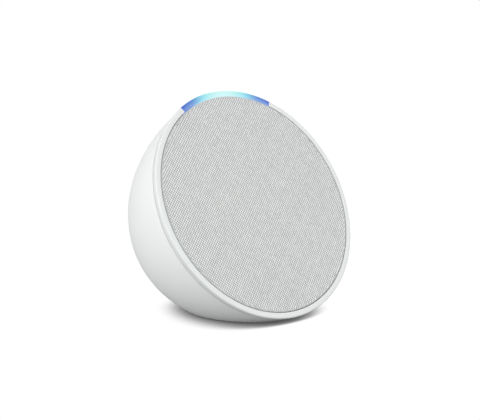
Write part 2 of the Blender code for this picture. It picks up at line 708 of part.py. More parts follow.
chamber_outline = [
    (CHAMBER_RADIUS, -CHAMBER_FRONT),
    (CHAMBER_RADIUS, -CHAMBER_FLANGE_BACK),
    (CHAMBER_FRONT_RADIUS, -CHAMBER_FLANGE_BACK),
    (CHAMBER_BACK_RADIUS, -CHAMBER_BACK),
    (0, -CHAMBER_BACK),
    (0, -CHAMBER_BACK + CHAMBER_WALL),
    (CHAMBER_BACK_RADIUS - CHAMBER_WALL, -CHAMBER_BACK + CHAMBER_WALL),
    (CHAMBER_FRONT_RADIUS - CHAMBER_WALL, -CHAMBER_FLANGE_BACK),
    (CHAMBER_FRONT_RADIUS - CHAMBER_WALL, -CHAMBER_FRONT),
]
chamber = piece("acoustic_chamber", turned(chamber_outline, 36), BLACK_ABS, FACE)
BOARD_POSTS = [
    (side * (BOARD_WIDTH / 2 - BOARD_INSET), BOARD_HEIGHT / 2 - BOARD_INSET - drop)
    for side, drop in ((-1, 0), (1, 0), (-1, POST_DROP), (1, POST_DROP))
]
for number, spot in enumerate(BOARD_POSTS, 1):
    post = disc(POST_RADIUS, -POST_BACK, -CHAMBER_BACK + CHAMBER_WALL / 2, 8, spot)
    add(chamber, f"board_post_{number}", post, FACE)
for number, (x, y, top) in enumerate(BASE_SCREWS, 1):
    rise = CHAMBER_BACK_RADIUS - math.sqrt(CHAMBER_BACK_RADIUS**2 - x**2)
    post = disc(FOOT_POST_RADIUS, BOSS_TOP + GAP, top + rise + FOOT_POST_SINK, 10, (x, y))
    add(chamber, f"foot_post_{number}", post)
    pilot = disc(PILOT, 0, BOSS_TOP + BASE_PILOT_LENGTH, 8, (x, y))
    cut(chamber, f"foot_pilot_{number}", pilot)
for turn in QUARTERS:
    label = round(math.degrees(turn))
    hole = disc(PILOT, -CHAMBER_FLANGE_BACK - MM, 0, 8, around(CHASSIS_SCREW_RING, turn))
    cut(chamber, f"chassis_pilot_{label}", hole, FACE)
for number, spot in enumerate(BOARD_POSTS, 1):
    pilot = disc(PILOT, -POST_BACK - MM, -POST_BACK + PILOT_LENGTH, 8, spot)
    cut(chamber, f"board_pilot_{number}", pilot, FACE)
LEAD_X = -(CHAMBER_BACK_RADIUS - CHAMBER_WALL) * LEAD_SHARE
lead_hole = disc(LEAD_RADIUS + GAP, -CHAMBER_BACK - MM, -CHAMBER_BACK + 2 * CHAMBER_WALL, 12, (LEAD_X, 0))
cut(chamber, "lead_hole", lead_hole, FACE)

for number, turn in enumerate(QUARTERS, 1):
    chassis_at = around(CHASSIS_SCREW_RING, turn)
    screw(f"chassis_screw_{number}", chassis_at, -BAFFLE_DEPTH + GAP, CHAMBER_FLANGE + BAFFLE_WALL, FACE)
    driver_at = around(DRIVER_SCREW_RING, turn)
    screw(f"driver_screw_{number}", driver_at, -FLANGE_FRONT + GAP, SCREW_LENGTH, FACE)
for number, (x, y, _) in enumerate(BASE_SCREWS, 1):
    head_base = COUNTERBORE_TOP - GAP
    screw(f"base_screw_{number}", (x, y), head_base, BASE_SCREW_LENGTH, None, -1)

# --- Loudspeaker -----------------------------------------------------------------------------

FORMER_RADIUS = COIL_RADIUS
POLE_RADIUS = FORMER_RADIUS - FORMER_WALL - GAP
WINDING_INNER = FORMER_RADIUS + GAP
WINDING_OUTER = WINDING_INNER + COIL_WALL
PLATE_BORE = WINDING_OUTER + GAP
CONE_RADIUS = BASKET_RADIUS - BASKET_WALL - SURROUND_WIDTH + GAP
CONE_FRONT = FLANGE_FRONT + CONE_SET_BACK
CONE_NECK = CONE_FRONT + CONE_DEPTH
BASKET_BACK_RADIUS = BASKET_RADIUS - BASKET_STEP

basket_outline = [
    (BASKET_RADIUS - BASKET_WALL, -FLANGE_FRONT),
    (DRIVER_RADIUS, -FLANGE_FRONT),
    (DRIVER_RADIUS, -FLANGE_BACK),
    (BASKET_RADIUS, -FLANGE_BACK),
    (BASKET_RADIUS, -FLANGE_BACK - BASKET_STEP),
    (BASKET_BACK_RADIUS, -BASKET_BACK + BASKET_WALL),
    (BASKET_BACK_RADIUS, -BASKET_BACK),
    (PLATE_BORE, -BASKET_BACK),
    (PLATE_BORE, -BASKET_BACK + BASKET_WALL),
    (BASKET_BACK_RADIUS - BASKET_WALL, -BASKET_BACK + BASKET_WALL),
    (BASKET_RADIUS - BASKET_WALL, -FLANGE_BACK - BASKET_STEP),
]
basket = piece("driver_basket", turned(basket_outline, 32), STEEL, FACE)
window_depth = FLANGE_BACK + BASKET_WINDOW_DEPTH
window_length = 4 * DRIVER_RADIUS
window_size = (window_length, BASKET_WINDOW, BASKET_WINDOW_WALL)
cut(basket, "basket_window_across", block(window_size, (0, 0, -window_depth)), FACE)
upright_size = (BASKET_WINDOW, window_length, BASKET_WINDOW_WALL)
cut(basket, "basket_window_upright", block(upright_size, (0, 0, -window_depth)), FACE)

gasket_outline = [
    (BASKET_RADIUS + GAP, -FLANGE_BACK - GAP),
    (DRIVER_RADIUS, -FLANGE_BACK - GAP),
    (DRIVER_RADIUS, -FLANGE_BACK - GAP - GASKET_WALL),
    (BAFFLE_BORE + GAP, -FLANGE_BACK - GAP - GASKET_WALL),
    (BASKET_RADIUS + GAP, -FLANGE_BACK - GAP - GASKET_WALL / 2),
]
piece("driver_gasket", turned(gasket_outline, 32), FOAM, FACE)

SURROUND_INNER = CONE_RADIUS + GAP
SURROUND_OUTER = SURROUND_INNER + SURROUND_WIDTH - 2 * GAP
SURROUND_MIDDLE = (SURROUND_INNER + SURROUND_OUTER) / 2
roll = (SURROUND_OUTER - SURROUND_INNER) / 2
roll_steps = [math.pi * i / 4 for i in range(5)]
upper = [(SURROUND_MIDDLE - roll * math.cos(t), -CONE_FRONT + SURROUND_LIFT * math.sin(t)) for t in roll_steps]
lower = [(r, z - SURROUND_WALL) for r, z in reversed(upper)]
piece("driver_surround", turned(upper + lower, 32), BLACK_RUBBER, FACE)

cone_frame = frame("cone_axis", Matrix.Identity(4), FACE)
cone_outline = [
    (CONE_RADIUS, -CONE_FRONT),
    (CONE_RADIUS, -CONE_FRONT - CONE_WALL),
    (FORMER_RADIUS + CONE_NECK_WIDTH, -CONE_NECK),
    (FORMER_RADIUS + GAP, -CONE_NECK),
    (FORMER_RADIUS + GAP, -CONE_NECK + CONE_WALL),
    (FORMER_RADIUS + CONE_NECK_WIDTH, -CONE_NECK + CONE_WALL),
]
piece("driver_cone", turned(cone_outline, 32), PAPER, cone_frame)

CAP_RADIUS = FORMER_RADIUS + CAP_WIDTH
CAP_BASE = CONE_NECK - CONE_WALL - GAP
cap_turns = [math.pi / 2 * i / 4 for i in range(5)]
cap_outer = [(CAP_RADIUS * math.sin(t), -CAP_BASE + CAP_RISE * math.cos(t)) for t in cap_turns]
cap_inner = [
    ((CAP_RADIUS - CONE_WALL) * math.sin(t), -CAP_BASE + (CAP_RISE - CONE_WALL) * math.cos(t))
    for t in reversed(cap_turns)
]
cap_outer[0] = (0, cap_outer[0][1])
cap_inner[-1] = (0, cap_inner[-1][1])
piece("driver_dust_cap", turned(cap_outer + cap_inner, 24), PAPER, cone_frame)

WINDING_FRONT = TOP_PLATE_FRONT + TOP_PLATE_WALL / 2 - COIL_LENGTH / 2
WINDING_BACK = WINDING_FRONT + COIL_LENGTH
former_outline = [
    (FORMER_RADIUS, -CONE_NECK + CONE_WALL - GAP),
    (FORMER_RADIUS, -WINDING_BACK),
    (FORMER_RADIUS - FORMER_WALL, -WINDING_BACK),
    (FORMER_RADIUS - FORMER_WALL, -CONE_NECK + CONE_WALL - GAP),
]
piece("voice_coil_former", turned(former_outline, 24), KAPTON, cone_frame)
winding_outline = [
    (WINDING_INNER, -WINDING_FRONT),
    (WINDING_OUTER, -WINDING_FRONT),
    (WINDING_OUTER, -WINDING_BACK),
    (WINDING_INNER, -WINDING_BACK),
]
piece("voice_coil", turned(winding_outline, 24), COPPER, cone_frame)

SPIDER_FRONT = CONE_NECK + SPIDER_DEPTH - SPIDER_WALL
SPIDER_OUTER = BASKET_BACK_RADIUS - BASKET_WALL - GAP
SPIDER_INNER = WINDING_OUTER + GAP
spider_front = []
for i in range(SPIDER_STEPS):
    radius = SPIDER_INNER + (SPIDER_OUTER - SPIDER_INNER) * i / (SPIDER_STEPS - 1)
    wave = SPIDER_WAVE * (i % 2) if 0 < i < SPIDER_STEPS - 1 else 0.0
    spider_front.append((radius, -SPIDER_FRONT + wave))
spider_back = [(r, z - SPIDER_WALL) for r, z in reversed(spider_front)]
piece("driver_spider", turned(spider_front + spider_back, 24), RESIN_CLOTH, FACE)

plate_outline = [
    (PLATE_BORE, -TOP_PLATE_FRONT),
    (MOTOR_RADIUS, -TOP_PLATE_FRONT),
    (MOTOR_RADIUS, -TOP_PLATE_FRONT - TOP_PLATE_WALL),
    (PLATE_BORE, -TOP_PLATE_FRONT - TOP_PLATE_WALL),
]
piece("driver_top_plate", turned(plate_outline, 24), STEEL, FACE)
magnet_outline = [
    (PLATE_BORE + MM, -MAGNET_FRONT),
    (MOTOR_RADIUS + MAGNET_PROUD, -MAGNET_FRONT),
    (MOTOR_RADIUS + MAGNET_PROUD, -MAGNET_FRONT - MAGNET_WALL),
    (PLATE_BORE + MM, -MAGNET_FRONT - MAGNET_WALL),
]
piece("driver_magnet", turned(magnet_outline, 24), FERRITE, FACE)
yoke_outline = [
    (0, -TOP_PLATE_FRONT),
    (POLE_RADIUS, -TOP_PLATE_FRONT),
    (POLE_RADIUS, -YOKE_FRONT),
    (MOTOR_RADIUS, -YOKE_FRONT),
    (MOTOR_RADIUS, -YOKE_BACK),
    (0, -YOKE_BACK),
]
piece("driver_yoke", turned(yoke_outline, 24), STEEL, FACE)

# --- Electronics -----------------------------------------------------------------------------

board_edge = rounded_rectangle(BOARD_WIDTH, BOARD_HEIGHT, BOARD_CORNER)
board = piece("main_board", prism(board_edge, -BOARD_BACK, -BOARD_FRONT), GREEN_BOARD, FACE)
board_holes = bmesh.new()
for spot in BOARD_POSTS:
    disc(PILOT, -2 * BOARD_BACK, 0, 8, spot, board_holes)
cut(board, "board_holes", board_holes, FACE)
for number, spot in enumerate(BOARD_POSTS[:2], 1):
    screw(f"board_screw_{number}", spot, -BOARD_BACK - GAP, SCREW_LENGTH, FACE, -1)

CAN_BACK = BOARD_FRONT - GAP
can_middle = (0, 0, -CAN_BACK + CAN_SIZE[2] / 2)
piece("shield_can", block(CAN_SIZE, can_middle), TINPLATE, FACE)
PAD_BACK = CAN_BACK - CAN_SIZE[2] - GAP
pad_size = (CAN_SIZE[0] - 2 * PAD_MARGIN, CAN_SIZE[1] - 2 * PAD_MARGIN, PAD_WALL)
piece("thermal_pad", block(pad_size, (0, 0, -PAD_BACK + PAD_WALL / 2)), GREY_PAD, FACE)
SPREADER_BACK = PAD_BACK - PAD_WALL - GAP
spreader_middle = (0, 0, -SPREADER_BACK + SPREADER_SIZE[2] / 2)
piece("heat_spreader", block(SPREADER_SIZE, spreader_middle), ALUMINIUM, FACE)

for number, side in enumerate((-1, 1), 1):
    top = -BOARD_BACK - GAP
    spot = (side * CAPACITOR_SPREAD, CAPACITOR_RISE)
    can = disc(CAPACITOR_RADIUS, top - CAPACITOR_HEIGHT, top, 16, spot)
    piece(f"capacitor_{number}", can, ALUMINIUM, FACE)

lead_start = BASKET_RADIUS + LEAD_RADIUS + GAP
lead_points = [
    (-lead_start, 0, -FLANGE_BACK - 5 * MM),
    (-lead_start, 0, -BASKET_BACK),
    ((LEAD_X - lead_start) / 2, 0, -MAGNET_FRONT - MM),
    (LEAD_X, 0, -YOKE_FRONT),
    (LEAD_X, 0, -CHAMBER_BACK),
    (LEAD_X, 0, -BOARD_FRONT + 2 * GAP),
]
tube("speaker_lead", lead_points, LEAD_RADIUS, BLACK_RUBBER, FACE)

# --- Buttons and microphones -----------------------------------------------------------------

BUTTON_CIRCLE = dome_radius(BUTTON_DEPTH)
slope = Vector((BUTTON_CIRCLE / DOME_RADIUS**2, -BUTTON_DEPTH / DOME_DEPTH**2)).normalized()
BUTTON_TURN = BUTTON_SPACING / BUTTON_CIRCLE


def skin_frame(name, turn, forward=0.0):
    """A frame on the dome's skin over the top: +Z along its normal, +Y towards the back."""
    outward = Vector((slope[0] * math.sin(turn), slope[0] * math.cos(turn), slope[1]))
    across = Vector((math.cos(turn), -math.sin(turn), 0))
    back = outward.cross(across)
    at = Vector((*around(BUTTON_CIRCLE, turn), -BUTTON_DEPTH)) - back * forward
    matrix = Matrix((across, back, outward)).transposed().to_4x4()
    return frame(name, Matrix.Translation(at) @ matrix, FACE)


KEY_FLANGE_RADIUS = BUTTON_RADIUS + BUTTON_FLANGE_WIDTH
FLANGE_SAG = KEY_FLANGE_RADIUS**2 / (2 * BUTTON_CIRCLE)
KEY_FLANGE_TOP = SHELL_WALL + FLANGE_SAG + GAP
KEY_FLANGE_BACK = KEY_FLANGE_TOP + BUTTON_FLANGE
KEY_STEM_END = KEY_FLANGE_BACK + BUTTON_TRAVEL + BUTTON_STEM_LENGTH
SWITCH_TOP = KEY_STEM_END + GAP
SWITCH_BACK = SWITCH_TOP + SWITCH_HEIGHT
FLEX_TOP = SWITCH_BACK + GAP
FLEX_BACK = FLEX_TOP + FLEX_WALL
CARRIER_TOP = FLEX_BACK + GAP
CARRIER_BOTTOM = CARRIER_TOP + CARRIER_WALL
edge_sag = BUTTON_RADIUS**2 / (2 * BUTTON_CIRCLE)

key_outline = [
    (0, BUTTON_PROUD),
    (BUTTON_RADIUS * 0.5, BUTTON_PROUD - edge_sag / 4),
    (BUTTON_RADIUS * 0.93, BUTTON_PROUD - edge_sag),
    (BUTTON_RADIUS, -edge_sag),
    (BUTTON_RADIUS, -KEY_FLANGE_TOP),
    (KEY_FLANGE_RADIUS, -KEY_FLANGE_TOP),
    (KEY_FLANGE_RADIUS, -KEY_FLANGE_BACK),
    (BUTTON_STEM, -KEY_FLANGE_BACK),
    (BUTTON_STEM, -KEY_STEM_END),
    (0, -KEY_STEM_END),
]
switch_outline = [
    (0, -SWITCH_TOP),
    (BUTTON_STEM, -SWITCH_TOP),
    (SWITCH_RADIUS * 0.8, -SWITCH_TOP - SWITCH_HEIGHT / 2),
    (SWITCH_RADIUS, -SWITCH_TOP - SWITCH_HEIGHT / 2),
    (SWITCH_RADIUS, -SWITCH_BACK),
    (0, -SWITCH_BACK),
]
for place, key in ((-1, "volume_down"), (0, "mic_off"), (1, "volume_up")):
    axis = skin_frame(f"{key}_axis", place * BUTTON_TURN)
    piece(f"{key}_button", turned(key_outline, 20), WHITE_ABS, axis)
    piece(f"{key}_switch", turned(switch_outline, 12), TINPLATE, axis)
    hole = disc(BUTTON_RADIUS + GAP, -2 * KEY_STEM_END, 2 * MM, 20)
    cut(SHELL, f"{key}_hole", hole, axis)

for side, label in ((-0.5, "left"), (0.5, "right")):
    spot = skin_frame(f"mic_{label}_frame", side * BUTTON_TURN, MIC_FORWARD)
    cut(SHELL, f"mic_{label}_hole", disc(MIC_HOLE, -2 * SHELL_WALL, 2 * MM, 8), spot)
    mic_middle = (0, 0, -FLEX_TOP + GAP + MIC_SIZE[2] / 2)
    piece(f"mic_{label}", block(MIC_SIZE, mic_middle), NICKEL, spot)


def skin_band(top, bottom, front, back):
    """The (radius, z) outline of a band that lies along the skin under the buttons."""
    corners = ((top, front), (top, back), (bottom, back), (bottom, front))
    return [
        (
            BUTTON_CIRCLE - slope[0] * depth + slope[1] * run,
            -BUTTON_DEPTH - slope[1] * depth - slope[0] * run,
        )
        for depth, run in corners
    ]


BAND_TURN = BUTTON_TURN + CARRIER_MARGIN / BUTTON_CIRCLE
FLEX_FRONT = MIC_FORWARD + MIC_MARGIN
CARRIER_FRONT = (BUTTON_DEPTH - CHAMBER_FLANGE_BACK - GAP - CARRIER_BOTTOM * abs(slope[1])) / slope[0]
flex_band = skin_band(FLEX_TOP, FLEX_BACK, -FLEX_FRONT, CARRIER_BACK)
piece("button_flex", turned(flex_band, 14, -BAND_TURN, 2 * BAND_TURN), KAPTON, FACE)
carrier_band = skin_band(CARRIER_TOP, CARRIER_BOTTOM, -CARRIER_FRONT, CARRIER_BACK)
piece("button_carrier", turned(carrier_band, 14, -BAND_TURN, 2 * BAND_TURN), BLACK_ABS, FACE)


def ribbon(line, wall, width):
    """A flat ribbon that follows (y, z) points, of one wall and width."""
    points = [Vector(point) for point in line]
    under = []
    for before, at, after in zip([points[0], *points], points, [*points[1:], points[-1]]):
        along = (after - before).normalized()
        under.append(at + wall * Vector((along.y, -along.x)))
    bm = bmesh.new()
    edge = bm.faces.new([bm.verts.new((-width / 2, *point)) for point in points + under[::-1]])
    moved = bmesh.ops.extrude_face_region(bm, geom=[edge])["geom"]
    corners = [item for item in moved if isinstance(item, bmesh.types.BMVert)]
    bmesh.ops.translate(bm, verts=corners, vec=(width, 0, 0))
    return bm


tail_start = skin_band(FLEX_TOP, FLEX_BACK, CARRIER_BACK + GAP, CARRIER_BACK + GAP)
tail_top, tail_z = tail_start[0]
tail_line = [
    (tail_top, tail_z),
    (tail_top - 4 * MM, tail_z - 6 * MM),
    (BOARD_HEIGHT / 2 + 4 * MM, -BOARD_FRONT + 4 * MM),
    (BOARD_HEIGHT / 2 - 4 * MM, -BOARD_FRONT + 2 * GAP),
]
piece("flex_cable", ribbon(tail_line, FLEX_WALL, TAIL_WIDTH), KAPTON, FACE)

# --- Power inlet -----------------------------------------------------------------------------

inlet = frame("inlet_frame", inlet_matrix())
housing = piece("power_jack_housing", disc(INLET_COLLAR, -INLET_NOSE - MM, 0, 24), BLACK_ABS, inlet)
body_middle = (0, 0, -INLET_NOSE - INLET_BODY[1] / 2)
body_size = (INLET_BODY[0], INLET_BODY[2], INLET_BODY[1])
add(housing, "jack_body", block(body_size, body_middle), inlet)
bore_depth = INLET_NOSE + INLET_BODY[1] - 2 * MM
cut(housing, "jack_bore", disc(INLET_BORE, -bore_depth, MM, 16), inlet)
pin_outline = [
    (0, -INLET_PIN_RECESS),
    (INLET_PIN * 0.6, -INLET_PIN_RECESS),
    (INLET_PIN, -INLET_PIN_RECESS - INLET_PIN * 0.6),
    (INLET_PIN, -bore_depth + GAP),
    (0, -bore_depth + GAP),
]
piece("power_jack_pin", turned(pin_outline, 12), NICKEL, inlet)

power_size = (POWER_BOARD_WIDTH, POWER_BOARD_LENGTH, POWER_BOARD_WALL)
power_middle = (0, POWER_BOARD_Y, POWER_BOARD_TOP - POWER_BOARD_WALL / 2)
power_board = piece("power_board", block(power_size, power_middle), GREEN_BOARD)
power_holes = bmesh.new()
for spot in POWER_SCREWS:
    disc(PILOT, 0, 2 * INLET_HEIGHT, 8, spot, power_holes)
cut(power_board, "power_board_holes", power_holes)
screw("power_screw", POWER_SCREWS[0], POWER_BOARD_TOP + GAP, SCREW_LENGTH, None)
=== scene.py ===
# %% [markdown]
# # A compact smart speaker
# A white moulded dome stands on a flat base. A round face, covered with pale grey cloth, leans
# back from it, and an arc of light sits in the trim ring at its top. The rigid frame is already
# packed: every piece below stands where that frame says, and rides on one of its bodies.

# %% Load the frame
import json
import math

import bmesh
import bpy
import numpy as np
from mathutils import Matrix, Vector


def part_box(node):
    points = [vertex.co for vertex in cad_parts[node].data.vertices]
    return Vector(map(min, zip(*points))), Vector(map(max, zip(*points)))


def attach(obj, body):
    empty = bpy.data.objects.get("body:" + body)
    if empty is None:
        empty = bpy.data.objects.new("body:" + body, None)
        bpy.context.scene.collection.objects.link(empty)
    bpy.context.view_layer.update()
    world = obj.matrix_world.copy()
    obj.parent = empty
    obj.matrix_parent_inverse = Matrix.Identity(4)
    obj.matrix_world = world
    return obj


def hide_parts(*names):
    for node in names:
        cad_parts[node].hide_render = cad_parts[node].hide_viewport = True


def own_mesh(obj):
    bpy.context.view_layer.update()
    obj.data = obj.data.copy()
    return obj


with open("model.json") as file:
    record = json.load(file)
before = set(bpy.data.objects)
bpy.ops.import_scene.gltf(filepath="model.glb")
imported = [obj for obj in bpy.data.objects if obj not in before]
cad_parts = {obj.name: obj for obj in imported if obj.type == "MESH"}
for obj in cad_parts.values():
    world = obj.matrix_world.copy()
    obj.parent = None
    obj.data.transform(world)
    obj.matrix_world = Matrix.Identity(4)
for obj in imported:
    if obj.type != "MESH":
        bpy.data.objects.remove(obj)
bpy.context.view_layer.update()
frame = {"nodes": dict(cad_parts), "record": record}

MM = 0.001

# %% [markdown]
# ## The sizes that the visible pieces share
# The dome is half of a stretched ball, an ellipse turned about the axis of the face. The trim
# ring stands slightly proud of it. The same few sizes as in the frame give every outline here,
# so a finer surface covers a plainer one without any fitting by eye.

# %% Sizes of the dome, the ring and the cloth
FACE_TILT = math.radians(27)
DOME_RADIUS = 48.8 * MM
DOME_DEPTH = 62.6 * MM
SHELL_WALL = 2.0 * MM
RIM_RADIUS = 49.5 * MM
RECESS_RADIUS = 47.1 * MM
RING_FLANGE = 3.0 * MM
FRAME_DEPTH = 1.9 * MM
FRAME_WALL = 1.25 * MM
LIGHT_SPAN = math.radians(58)
GAP = 0.3 * MM

SINE = math.sin(FACE_TILT)
COSINE = math.cos(FACE_TILT)
low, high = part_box("grille_frame")
FACE_MIDDLE = (low + high) / 2 + Vector((0, -COSINE, SINE)) * (FRAME_DEPTH - FRAME_WALL / 2)
FACE = Matrix.Translation(FACE_MIDDLE) @ Matrix.Rotation(math.pi / 2 - FACE_TILT, 4, "X")
print("middle of the face, mm", [round(v / MM, 2) for v in FACE_MIDDLE])


def dome_radius(depth, inset=0.0):
    """Radius of the dome, or of a skin inset from it, at a depth behind the face."""
    return (DOME_RADIUS - inset) * math.sqrt(1 - (depth / (DOME_DEPTH - inset)) ** 2)


# %% [markdown]
# ## Camera, floor and light
# The speaker stands on a white table in a large white tent, with softboxes at the left, in front
# and behind on the right. Sources much larger than the object give slow gradients on matt
# plastic. The camera looks from the left, a little above the middle of the face, through a long
# lens.

# %% Camera
AZIMUTH = math.radians(-42.1)
ELEVATION = math.radians(9)
DISTANCE = 520 * MM
camera_data = bpy.data.cameras.new("camera")
camera = bpy.data.objects.new("camera", camera_data)
bpy.context.scene.collection.objects.link(camera)
back = Vector(
    (
        math.sin(AZIMUTH) * math.cos(ELEVATION),
        -math.cos(AZIMUTH) * math.cos(ELEVATION),
        math.sin(ELEVATION),
    )
)
camera.location = FACE_MIDDLE + back * DISTANCE
camera.rotation_euler = (-back).to_track_quat("-Z", "Y").to_euler()
camera_data.sensor_width = 36
camera_data.lens = 95.6
camera_data.shift_x = -0.038
camera_data.shift_y = -0.0175
camera_data.clip_start = 0.01
bpy.context.scene.camera = camera
print("camera at, mm", [round(v / MM) for v in camera.location])


# %% [markdown]
# Two small helpers build every node tree in this lesson: one turns a colour written in hex into
# the linear numbers that a shader needs, and one adds a node with its settings and its links.

# %% Helpers for node trees
def linear(colour):
    """A colour in sRGB hex as linear red, green, blue and alpha."""
    srgb = [int(colour[i : i + 2], 16) / 255 for i in (0, 2, 4)]
    return (*(c / 12.92 if c <= 0.04045 else ((c + 0.055) / 1.055) ** 2.4 for c in srgb), 1.0)


def add_node(tree, kind, settings=None, links=None):
    """Adds a node. A setting is a property of the node or the value of a socket."""
    node = tree.nodes.new(kind)
    for key, value in (settings or {}).items():
        if isinstance(key, str) and hasattr(node, key):
            setattr(node, key, value)
        else:
            node.inputs[key].default_value = value
    for key, source in (links or {}).items():
        tree.links.new(source, node.inputs[key])
    return node


def set_stops(ramp, stops):
    """Gives a colour ramp node its stops, each a position and a linear colour."""
    elements = ramp.color_ramp.elements
    elements[0].position, elements[0].color = stops[0]
    elements[-1].position, elements[-1].color = stops[-1]
    for position, colour in stops[1:-1]:
        elements.new(position).color = colour


print("white in linear numbers", linear("FFFFFF"))

# %% [markdown]
# The tent is white where the camera sees it and dimmer where it lights the speaker, so that the
# softboxes can model the dome.

# %% The white tent and the softboxes
TENT_LIGHT = 0.57
TENT_SEEN = 1.0
AIM = (0, 0, 50 * MM)
scene = bpy.context.scene
scene.view_settings.view_transform = "Standard"
world = bpy.data.worlds.new("white tent")
scene.world = world
world.use_nodes = True
tent = world.node_tree
tent.nodes.clear()
ray = add_node(tent, "ShaderNodeLightPath")
glow = add_node(tent, "ShaderNodeBackground", {"Color": linear("FFFFFF"), "Strength": TENT_LIGHT})
sweep = add_node(tent, "ShaderNodeBackground", {"Color": linear("FFFFFF"), "Strength": TENT_SEEN})
seen = add_node(
    tent,
    "ShaderNodeMixShader",
    links={0: ray.outputs["Is Camera Ray"], 1: glow.outputs[0], 2: sweep.outputs[0]},
)
add_node(tent, "ShaderNodeOutputWorld", links={"Surface": seen.outputs[0]})


def softbox(name, size, place, watts):
    """A square white area light at a place, aimed at the speaker."""
    light = bpy.data.lights.new(name, "AREA")
    light.size = size
    light.energy = watts
    lamp = bpy.data.objects.new(name, light)
    lamp.location = place
    lamp.rotation_euler = (Vector(AIM) - Vector(place)).to_track_quat("-Z", "Y").to_euler()
    scene.collection.objects.link(lamp)
    print(name, watts, "W")


softbox("softbox left", 0.7, (-0.9, -0.05, 0.35), 5.6)
softbox("softbox front", 0.8, (0.35, -0.8, 0.5), 4.1)
softbox("softbox back", 0.7, (0.8, 0.5, 0.5), 3.0)

# %% [markdown]
# The camera sees the table as a glowing white with a painted contact shadow: it darkens only where the
# speaker comes close, and no lamp casts that shade. How much of the sky is closed off at a point is what an
# Ambient Occlusion node measures, and a ramp turns that into the tone of the painted shadow. The light that
# bounces off the table is that of matt grey.

# %% The white table, with a painted contact shadow
TABLE_SIZE = 6
TABLE_BOUNCE = 0.42
SHADE_REACH = 300 * MM
# share of the sky that is open, and the tone of the painted shadow there
CONTACT_SHADE = [
    (0.0, 0.06),
    (0.085, 0.125),
    (0.16, 0.29),
    (0.208, 0.42),
    (0.255, 0.6),
    (0.281, 0.74),
    (0.313, 0.85),
    (0.39, 1.02),
]
floor_mesh = bpy.data.meshes.new("table")
floor_bm = bmesh.new()
bmesh.ops.create_grid(floor_bm, x_segments=1, y_segments=1, size=TABLE_SIZE)
floor_bm.to_mesh(floor_mesh)
floor_bm.free()
table = bpy.data.objects.new("table", floor_mesh)
scene.collection.objects.link(table)
table_painted_shadow = bpy.data.materials.new("white table, painted shadow")
table_painted_shadow.use_nodes = True
paint = table_painted_shadow.node_tree
paint.nodes.clear()
ray = add_node(paint, "ShaderNodeLightPath")
shade = add_node(paint, "ShaderNodeAmbientOcclusion", {"samples": 24, "Distance": SHADE_REACH})
contact = add_node(paint, "ShaderNodeValToRGB", links={"Fac": shade.outputs["AO"]})
set_stops(contact, [(open_sky, (tone, tone, tone, 1)) for open_sky, tone in CONTACT_SHADE])
# painted contact shadow: the glow the camera sees, darkened by the ramp where the speaker closes off the sky
white = add_node(paint, "ShaderNodeEmission", links={"Color": contact.outputs["Color"]})
matt = add_node(paint, "ShaderNodeBsdfDiffuse", {"Color": (*[TABLE_BOUNCE] * 3, 1)})
shown = add_node(
    paint,
    "ShaderNodeMixShader",
    links={0: ray.outputs["Is Camera Ray"], 1: matt.outputs[0], 2: white.outputs[0]},
)
add_node(paint, "ShaderNodeOutputMaterial", links={"Surface": shown.outputs[0]})
floor_mesh.materials.append(table_painted_shadow)
print("table", [round(v, 2) for v in table.dimensions])


# %% [markdown]
# ## Finishes
# Each finish starts from what the real material is and how its surface was made. A pattern is
# laid on the object's own coordinates, which are metres here, so its scale is worked out from a
# size in millimetres: a noise of scale 1 / size has features about that big.

# %% A new material with its main shader
def new_finish(name, colour, roughness, metallic=0.0, **sockets):
    """A Principled material; returns the material, its tree and its shader."""
    material = bpy.data.materials.new(name)
    material.use_nodes = True
    tree = material.node_tree
    shader = tree.nodes["Principled BSDF"]
    shader.inputs["Base Color"].default_value = linear(colour)
    shader.inputs["Roughness"].default_value = roughness
    shader.inputs["Metallic"].default_value = metallic
    for key, value in sockets.items():
        shader.inputs[key.replace("_", " ")].default_value = value
    material.diffuse_color = linear(colour)
    print("finish", name)
    return material, tree, shader


def grain(tree, shader, size, depth, colours, roughness, stretch=(1, 1, 1)):
    """Lays one noise over a shader's colour, roughness and bump; size and depth are in metres."""
    place = add_node(tree, "ShaderNodeTexCoord")
    scaled = add_node(tree, "ShaderNodeMapping", {"Scale": stretch}, {"Vector": place.outputs["Object"]})
    noise = add_node(
        tree,
        "ShaderNodeTexNoise",
        {"Scale": 1 / size, "Detail": 3.0, "Roughness": 0.6},
        {"Vector": scaled.outputs[0]},
    )
    tone = add_node(tree, "ShaderNodeValToRGB", links={"Fac": noise.outputs["Fac"]})
    set_stops(tone, [(0.3, linear(colours[0])), (0.7, linear(colours[1]))])
    shine = add_node(
        tree,
        "ShaderNodeMapRange",
        {"From Min": 0.3, "From Max": 0.7, "To Min": roughness[0], "To Max": roughness[1]},
        {"Value": noise.outputs["Fac"]},
    )
    bump = add_node(
        tree, "ShaderNodeBump", {"Strength": 1.0, "Distance": depth}, {"Height": noise.outputs["Fac"]}
    )
    tree.links.new(tone.outputs["Color"], shader.inputs["Base Color"])
    tree.links.new(shine.outputs["Result"], shader.inputs["Roughness"])
    tree.links.new(bump.outputs["Normal"], shader.inputs["Normal"])


# %% [markdown]
# **White ABS, spark-eroded texture.** The dome, ring and buttons are moulded in a steel tool whose
# face was spark-eroded to a fine grit of about a tenth of a millimetre. That breaks up
# reflections, so the eye sees soft white with a broad, faint sheen. The grit is drawn at 0.35 mm,
# because a finer one is lost between the samples.

# %% White ABS
WHITE_ABS, tree, shader = new_finish("ABS white, spark-eroded", "F0F1F0", 0.5, IOR=1.53)
grain(tree, shader, 0.35 * MM, 0.012 * MM, ("EEF0EF", "F2F4F3"), (0.46, 0.56))

# %% [markdown]
# ** White ABS, satin face of the ring.** The ring comes from the same pellets, but its visible
# face is smoother, and a trace of the cool light that spills from the light bar is painted into its colour.

